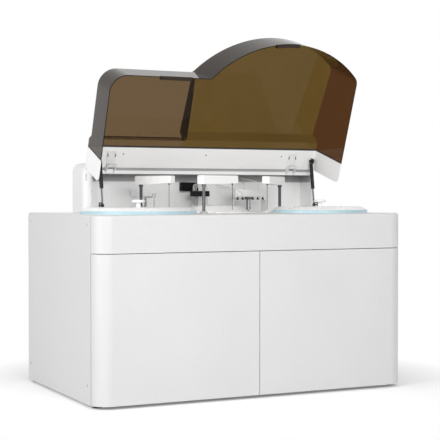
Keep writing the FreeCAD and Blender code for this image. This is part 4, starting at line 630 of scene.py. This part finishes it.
milky = clear_plastic("milky_jug", (0.84, 0.86, 0.86), 0.25, (0.35, 0.5))
clear_tube = clear_plastic("clear_tube", (0.9, 0.93, 0.94), 0.7, (0.05, 0.12))
hose_white = clear_plastic("white_hose", (0.86, 0.86, 0.84), 0.15, (0.2, 0.32))
print("plastics", milky.name, clear_tube.name, hose_white.name)

# %% [markdown]
# Now each piece of the frame gets its finish. One table says which, so that nothing
# keeps the plain colour it came with. The mesh is left alone: the finish goes to the
# object's own slots.

# %% Give every frame piece its finish
finishes = [
    (white_sheet, "side_panels rear_panel front_fascia left_door right_door"),
    (deck_sheet, "deck_plate manifold_bridge"),
    (brow, "housing_lip"),
    (white_moulding, "reaction_cover left_probe_cover centre_probe_cover right_probe_cover "
                     "reagent_bottles wash_wells"),
    (bright_moulding, "manifold_box"),
    (hood_moulding, "rear_housing"),
    (lid_band, "lid_frame"),
    (disc_cover, "sample_cover reagent_cover"),
    (smoked_sheet, "lid_canopy"),
    (grip_brown, "lid_grips"),
    (black_moulding, "wash_block manifold_fittings power_inlet switch_rocker "
                     "turntable_motors"),
    (wall_box, "wall_boxes"),
    (grey_moulding, "mixer_arm deck_guides"),
    (dark_moulding, "post_mixer"),
    (black_rubber, "lid_gasket levelling_feet"),
    (strut_paint, "strut_cylinders"),
    (grey_metal, "base_tray cabinet_frame turntable_tubs sample_turntable "
                 "reagent_turntable"),
    (steel, "mixer_shaft mixer_stirrer post_mixer_stirrer wash_nozzles panel_screws"),
    (column_steel, "centre_probe_shaft"),
    (rod_steel, "strut_rods"),
    (dark_steel, "left_probe_shaft right_probe_shaft left_probe_needle "
                 "centre_probe_needle right_probe_needle strut_bases lid_studs"),
    (plated, "door_pivots"),
    (hinge_paint, "hinge_bases hinge_leaves"),
    (milky, "supply_jugs"),
    (clear_tube, "sample_tubes reaction_ring"),
    (hose_white, "wash_tubing manifold_tubing"),
]
finished = set()
for material, names in finishes:
    for name in names.split():
        piece = nodes[name]
        if not piece.material_slots:
            piece.data.materials.append(material)
        for slot in piece.material_slots:
            slot.link = "OBJECT"
            slot.material = material
        finished.add(name)
print("finished", len(finished), "left", sorted(set(nodes) - finished))

# %% [markdown]
# Screw heads and hinge posts are too small for the solids. Their places are read from
# the solids: a node may hold several solids, and each is an island of points that
# edges join. A walk along the edges finds them one by one, in the mesh's own order,
# so that every run gives the same list.

# %% Reading places from the solids
weld_distance = 1e-6


def islands(name):
    """Points, and faces as normal and corners, of each separate solid in a node."""
    copy = bmesh.new()
    copy.from_mesh(nodes[name].data)
    bmesh.ops.remove_doubles(copy, verts=copy.verts, dist=weld_distance)
    copy.verts.index_update()
    seen = set()
    found = []
    for first in copy.verts:
        if first.index in seen:
            continue
        own, front, points = {first.index}, [first], []
        while front:
            vert = front.pop()
            points.append(vert.co.copy())
            for other in [edge.other_vert(vert) for edge in vert.link_edges]:
                if other.index not in own:
                    own.add(other.index)
                    front.append(other)
        seen |= own
        found.append((points, [(f.normal.copy(), [v.co.copy() for v in f.verts])
                               for f in copy.faces if f.verts[0].index in own]))
    copy.free()
    return found


def extent(points):
    low = Vector([min(p[i] for p in points) for i in range(3)])
    high = Vector([max(p[i] for p in points) for i in range(3)])
    return low, high


print("screws on the panels", len(islands("panel_screws")))

# %% [markdown]
# A screw head is a low dome whose cross recess is pressed in. It is laid out on rings
# of points, and the points that fall inside the cross are lowered. A last ring closes
# the head towards the panel. Other pieces of mesh are shown by the same helper.

# %% Screw head
head_rings, head_steps = 12, 64
cross_half_width, cross_reach = 0.12, 0.56


def screw_head(points, faces, middle, outward, radius, rise, depth, turn):
    """Adds one domed head with a cross recess to the lists."""
    outward = outward.normalized()
    right = outward.orthogonal().normalized()
    up = outward.cross(right)
    start = len(points)

    def height(x, y, r):
        dome = rise * (1 - (r / radius) ** 2)
        a = abs(x * math.cos(turn) + y * math.sin(turn))
        b = abs(y * math.cos(turn) - x * math.sin(turn))
        in_cross = min(a, b) < cross_half_width * radius and max(a, b) < cross_reach * radius
        return dome - depth if in_cross else dome

    angles = [2 * math.pi * k / head_steps for k in range(head_steps)]
    points.append(middle + outward * height(0, 0, 0))
    for ring in range(1, head_rings + 1):
        r = radius * ring / head_rings
        for angle in angles:
            x, y = r * math.cos(angle), r * math.sin(angle)
            points.append(middle + right * x + up * y + outward * height(x, y, r))
    for angle in angles:
        points.append(middle + radius * (right * math.cos(angle) + up * math.sin(angle))
                      - outward * depth)
    for k in range(head_steps):
        after = (k + 1) % head_steps
        faces.append((start, start + 1 + k, start + 1 + after))
        for ring in range(head_rings):
            inner = start + 1 + ring * head_steps
            outer = inner + head_steps
            faces.append((inner + k, outer + k, outer + after, inner + after))


def shown_piece(name, points, faces, material, body, smooth=True):
    mesh = bpy.data.meshes.new(name)
    mesh.from_pydata(points, [], faces)
    mesh.polygons.foreach_set("use_smooth", [smooth] * len(mesh.polygons))
    mesh.materials.append(material)
    piece = put_in_scene(bpy.data.objects.new(name, mesh))
    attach(piece, body)
    return piece


print("a head has", 1 + (head_rings + 1) * head_steps, "points")

# %% [markdown]
# The side panels are held by countersunk screws. Each island gives one: its thinnest
# direction is the screw's axis, and its width is the head's. The crosses point all
# ways, because nobody lines screws up.

# %% Screw heads on the panels
head_rise, head_depth = 0.12, 0.2
first_turn, next_turn = 0.4, 0.9
screw_points, screw_faces = [], []
for index, (points, _) in enumerate(islands("panel_screws")):
    low, high = extent(points)
    size = high - low
    middle = (low + high) / 2
    axis = min(range(3), key=lambda i: size[i])
    outward = Vector((0, 0, 0))
    outward[axis] = -1.0 if axis == 1 or middle.x < 0 else 1.0
    radius = max(size) / 2
    rise = head_rise * radius
    face = middle + outward * (size[axis] / 2 - rise)
    screw_head(screw_points, screw_faces, face, outward, radius, rise, head_depth * radius,
               first_turn + next_turn * index)
panel_heads = shown_piece("panel_screw_heads", screw_points, screw_faces, plated, "cabinet")
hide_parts("panel_screws")
print("panel screw heads", len(screw_faces))

# %% [markdown]
# Each hinge plate on the lid has two slots with a dark post in them, and three small
# screws over the slots. The slots' walls give the direction of the leaning plate: the
# highest and the lowest point of a wall are joined, and that line is up on the plate.

# %% Hinge posts
slot_from_middle = 0.021
slot_half_width = 0.0025
faces_sideways = 0.9
reading_error = 0.001
post_half_width, post_half_height, post_half_depth = 0.0022, 0.0086, 0.003
chamfer_starts, front_width, front_height = 0.5, 0.7, 0.92
post_points, post_faces = [], []


def post(middle, right, up, outward):
    """One bar with chamfered front edges: three levels of four corners each."""
    start = len(post_points)
    levels = ((1.0, 1.0, -1.0), (1.0, 1.0, chamfer_starts), (front_width, front_height, 1.0))
    for wide, tall, level in levels:
        for a, b in ((-1, -1), (1, -1), (1, 1), (-1, 1)):
            post_points.append(middle + right * (a * wide * post_half_width)
                               + up * (b * tall * post_half_height)
                               + outward * (level * post_half_depth))
    for low in (start, start + 4):
        for k in range(4):
            after = (k + 1) % 4
            post_faces.append((low + k, low + after, low + 4 + after, low + 4 + k))
    post_faces.append(tuple(start + 8 + k for k in range(4)))


def is_slot_wall(normal, point, centre_x, side):
    off = (point.x - centre_x) * side - slot_from_middle - slot_half_width
    return abs(normal.x) > faces_sideways and abs(off) < reading_error


print("a post is", 2000 * post_half_height, "mm high")

# %% [markdown]
# The posts stand a little out of their slots. The screws are measured from the middle
# between the slots, along the leaning plate, and are sunk so that only the dome shows.

# %% Hinge posts and screws on the lid
post_out = 0.001
screw_sink = 0.002
hinge_screws = ((-0.0086, 0.037, 0.3), (0.0086, 0.037, 1.1), (0.0, 0.029, 0.7))
hinge_head_radius, hinge_head_rise, hinge_head_depth = 0.0032, 0.0009, 0.0006
head_points, head_faces = [], []
right = Vector((1, 0, 0))
for points, faces in islands("hinge_leaves"):
    low, high = extent(points)
    centre_x = (low.x + high.x) / 2
    for side in (-1, 1):
        wall = [p for normal, corners in faces for p in corners
                if is_slot_wall(normal, p, centre_x, side)]
        top = max(wall, key=lambda p: p.z)
        bottom = min(wall, key=lambda p: p.z)
        up = Vector((0, top.y - bottom.y, top.z - bottom.z)).normalized()
        outward = right.cross(up)
        if outward.y > 0:
            outward = -outward
        middle = sum(wall, Vector()) / len(wall)
        middle.x = centre_x + side * slot_from_middle
        post(middle + outward * post_out, right, up, outward)
    middle.x = centre_x
    for across, upward, turn in hinge_screws:
        face = middle + right * across + up * upward - outward * screw_sink
        screw_head(head_points, head_faces, face, outward, hinge_head_radius,
                   hinge_head_rise, hinge_head_depth, turn)
shown_piece("hinge_posts", post_points, post_faces, dark_steel, "main_lid",
            smooth=False)
shown_piece("hinge_screw_heads", head_points, head_faces, plated, "main_lid")
print("hinge posts", len(post_faces), "hinge screw heads", len(head_faces))

# %% [markdown]
# Studio: a pale floor that runs to the horizon. It adds a little white of its own for
# the camera only, and blends to plain white away from the cabinet, so that the
# contact shadow stays while the rest is white. Mirror and glass rays see it as well,
# so that metal and plastic show the same background.

# %% Floor
reach = 60.0
glow = 0.16
blend_from, blend_to = 0.96, 1.5
floor_mesh = bpy.data.meshes.new("studio_floor")
floor_mesh.from_pydata([(-reach, -reach, 0), (reach, -reach, 0), (reach, reach, 0),
                        (-reach, reach, 0)], [], [(0, 1, 2, 3)])
floor = put_in_scene(bpy.data.objects.new("studio_floor", floor_mesh))
floor_finish, tree, shader = finish_start("pale_floor")
floor_tone = cloudy(tree, broad=0.8, fine=9.0)
tree.links.new(mix_colour(tree, floor_tone, grey(0.88), grey(0.9)),
               shader.inputs["Base Color"])
set_values(shader, Roughness=0.7, Specular_IOR_Level=0.1)


def seen_directly(tree):
    """1 for the rays that show the background: camera, mirror and glass rays."""
    path = add(tree, "ShaderNodeLightPath").outputs
    return maths(tree, "MAXIMUM", path["Is Camera Ray"],
                 maths(tree, "MAXIMUM", path["Is Glossy Ray"], path["Is Transmission Ray"]))


seen = seen_directly(tree)
far = set_values(add(tree, "ShaderNodeMapRange"), From_Min=blend_from, From_Max=blend_to)
tree.links.new(vector_maths(tree, "LENGTH", place(tree))["Value"], far.inputs["Value"])
white = add(tree, "ShaderNodeEmission")
near_glow = add(tree, "ShaderNodeEmission")
tree.links.new(maths(tree, "MULTIPLY", seen, glow), near_glow.inputs["Strength"])
lit = add(tree, "ShaderNodeAddShader")
tree.links.new(shader.outputs[0], lit.inputs[0])
tree.links.new(near_glow.outputs[0], lit.inputs[1])
blend = add(tree, "ShaderNodeMixShader")
tree.links.new(maths(tree, "MULTIPLY", seen, far.outputs[0]), blend.inputs[0])
tree.links.new(lit.outputs[0], blend.inputs[1])
tree.links.new(white.outputs[0], blend.inputs[2])
output = next(n for n in tree.nodes if n.type == "OUTPUT_MATERIAL")
tree.links.new(blend.outputs[0], output.inputs["Surface"])
floor_mesh.materials.append(floor_finish)
print("floor", reach * 2, "m across")

# %% [markdown]
# The surround is white for the rays that show the background, and dimmer for the
# light on the object, so that whites keep their shading.

# %% White surround
world = bpy.data.worlds.new("studio_white")
bpy.context.scene.world = world
world.use_nodes = True
tree = world.node_tree
tree.nodes.clear()
ambient = 0.38
surround = set_values(add(tree, "ShaderNodeBackground"), Color=(1.0, 1.0, 1.0, 1.0))
tree.links.new(maths(tree, "MULTIPLY_ADD", seen_directly(tree), 1.0 - ambient, ambient),
               surround.inputs["Strength"])
output = add(tree, "ShaderNodeOutputWorld")
tree.links.new(surround.outputs[0], output.inputs["Surface"])
print("surround", world.name, "ambient", ambient)

# %% [markdown]
# Three large soft lamps stand where a product studio has them: one at the left, one
# in front and a weak one overhead. Large lamps give soft shadows.

# %% Lamps
lamps = {
    "left_lamp": {"place": (-5.2, -1.6, 2.6), "aim": (0, 0, 0.9), "size": (3.0, 3.0),
                  "watts": 158},
    "front_lamp": {"place": (-0.6, -5.4, 2.3), "aim": (0, 0, 1.1), "size": (3.0, 1.6),
                   "watts": 165},
    "top_lamp": {"place": (0.0, -0.6, 5.0), "aim": (0, 0, 0.5), "size": (4.0, 3.0),
                 "watts": 30},
}
for name, setting in lamps.items():
    data = bpy.data.lights.new(name, "AREA")
    data.shape = "RECTANGLE"
    data.size, data.size_y = setting["size"]
    data.energy = setting["watts"]
    lamp = put_in_scene(bpy.data.objects.new(name, data))
    lamp.location = setting["place"]
    aim = Vector(setting["aim"]) - Vector(setting["place"])
    lamp.rotation_euler = aim.to_track_quat("-Z", "Y").to_euler()
print("lamps", len(lamps))
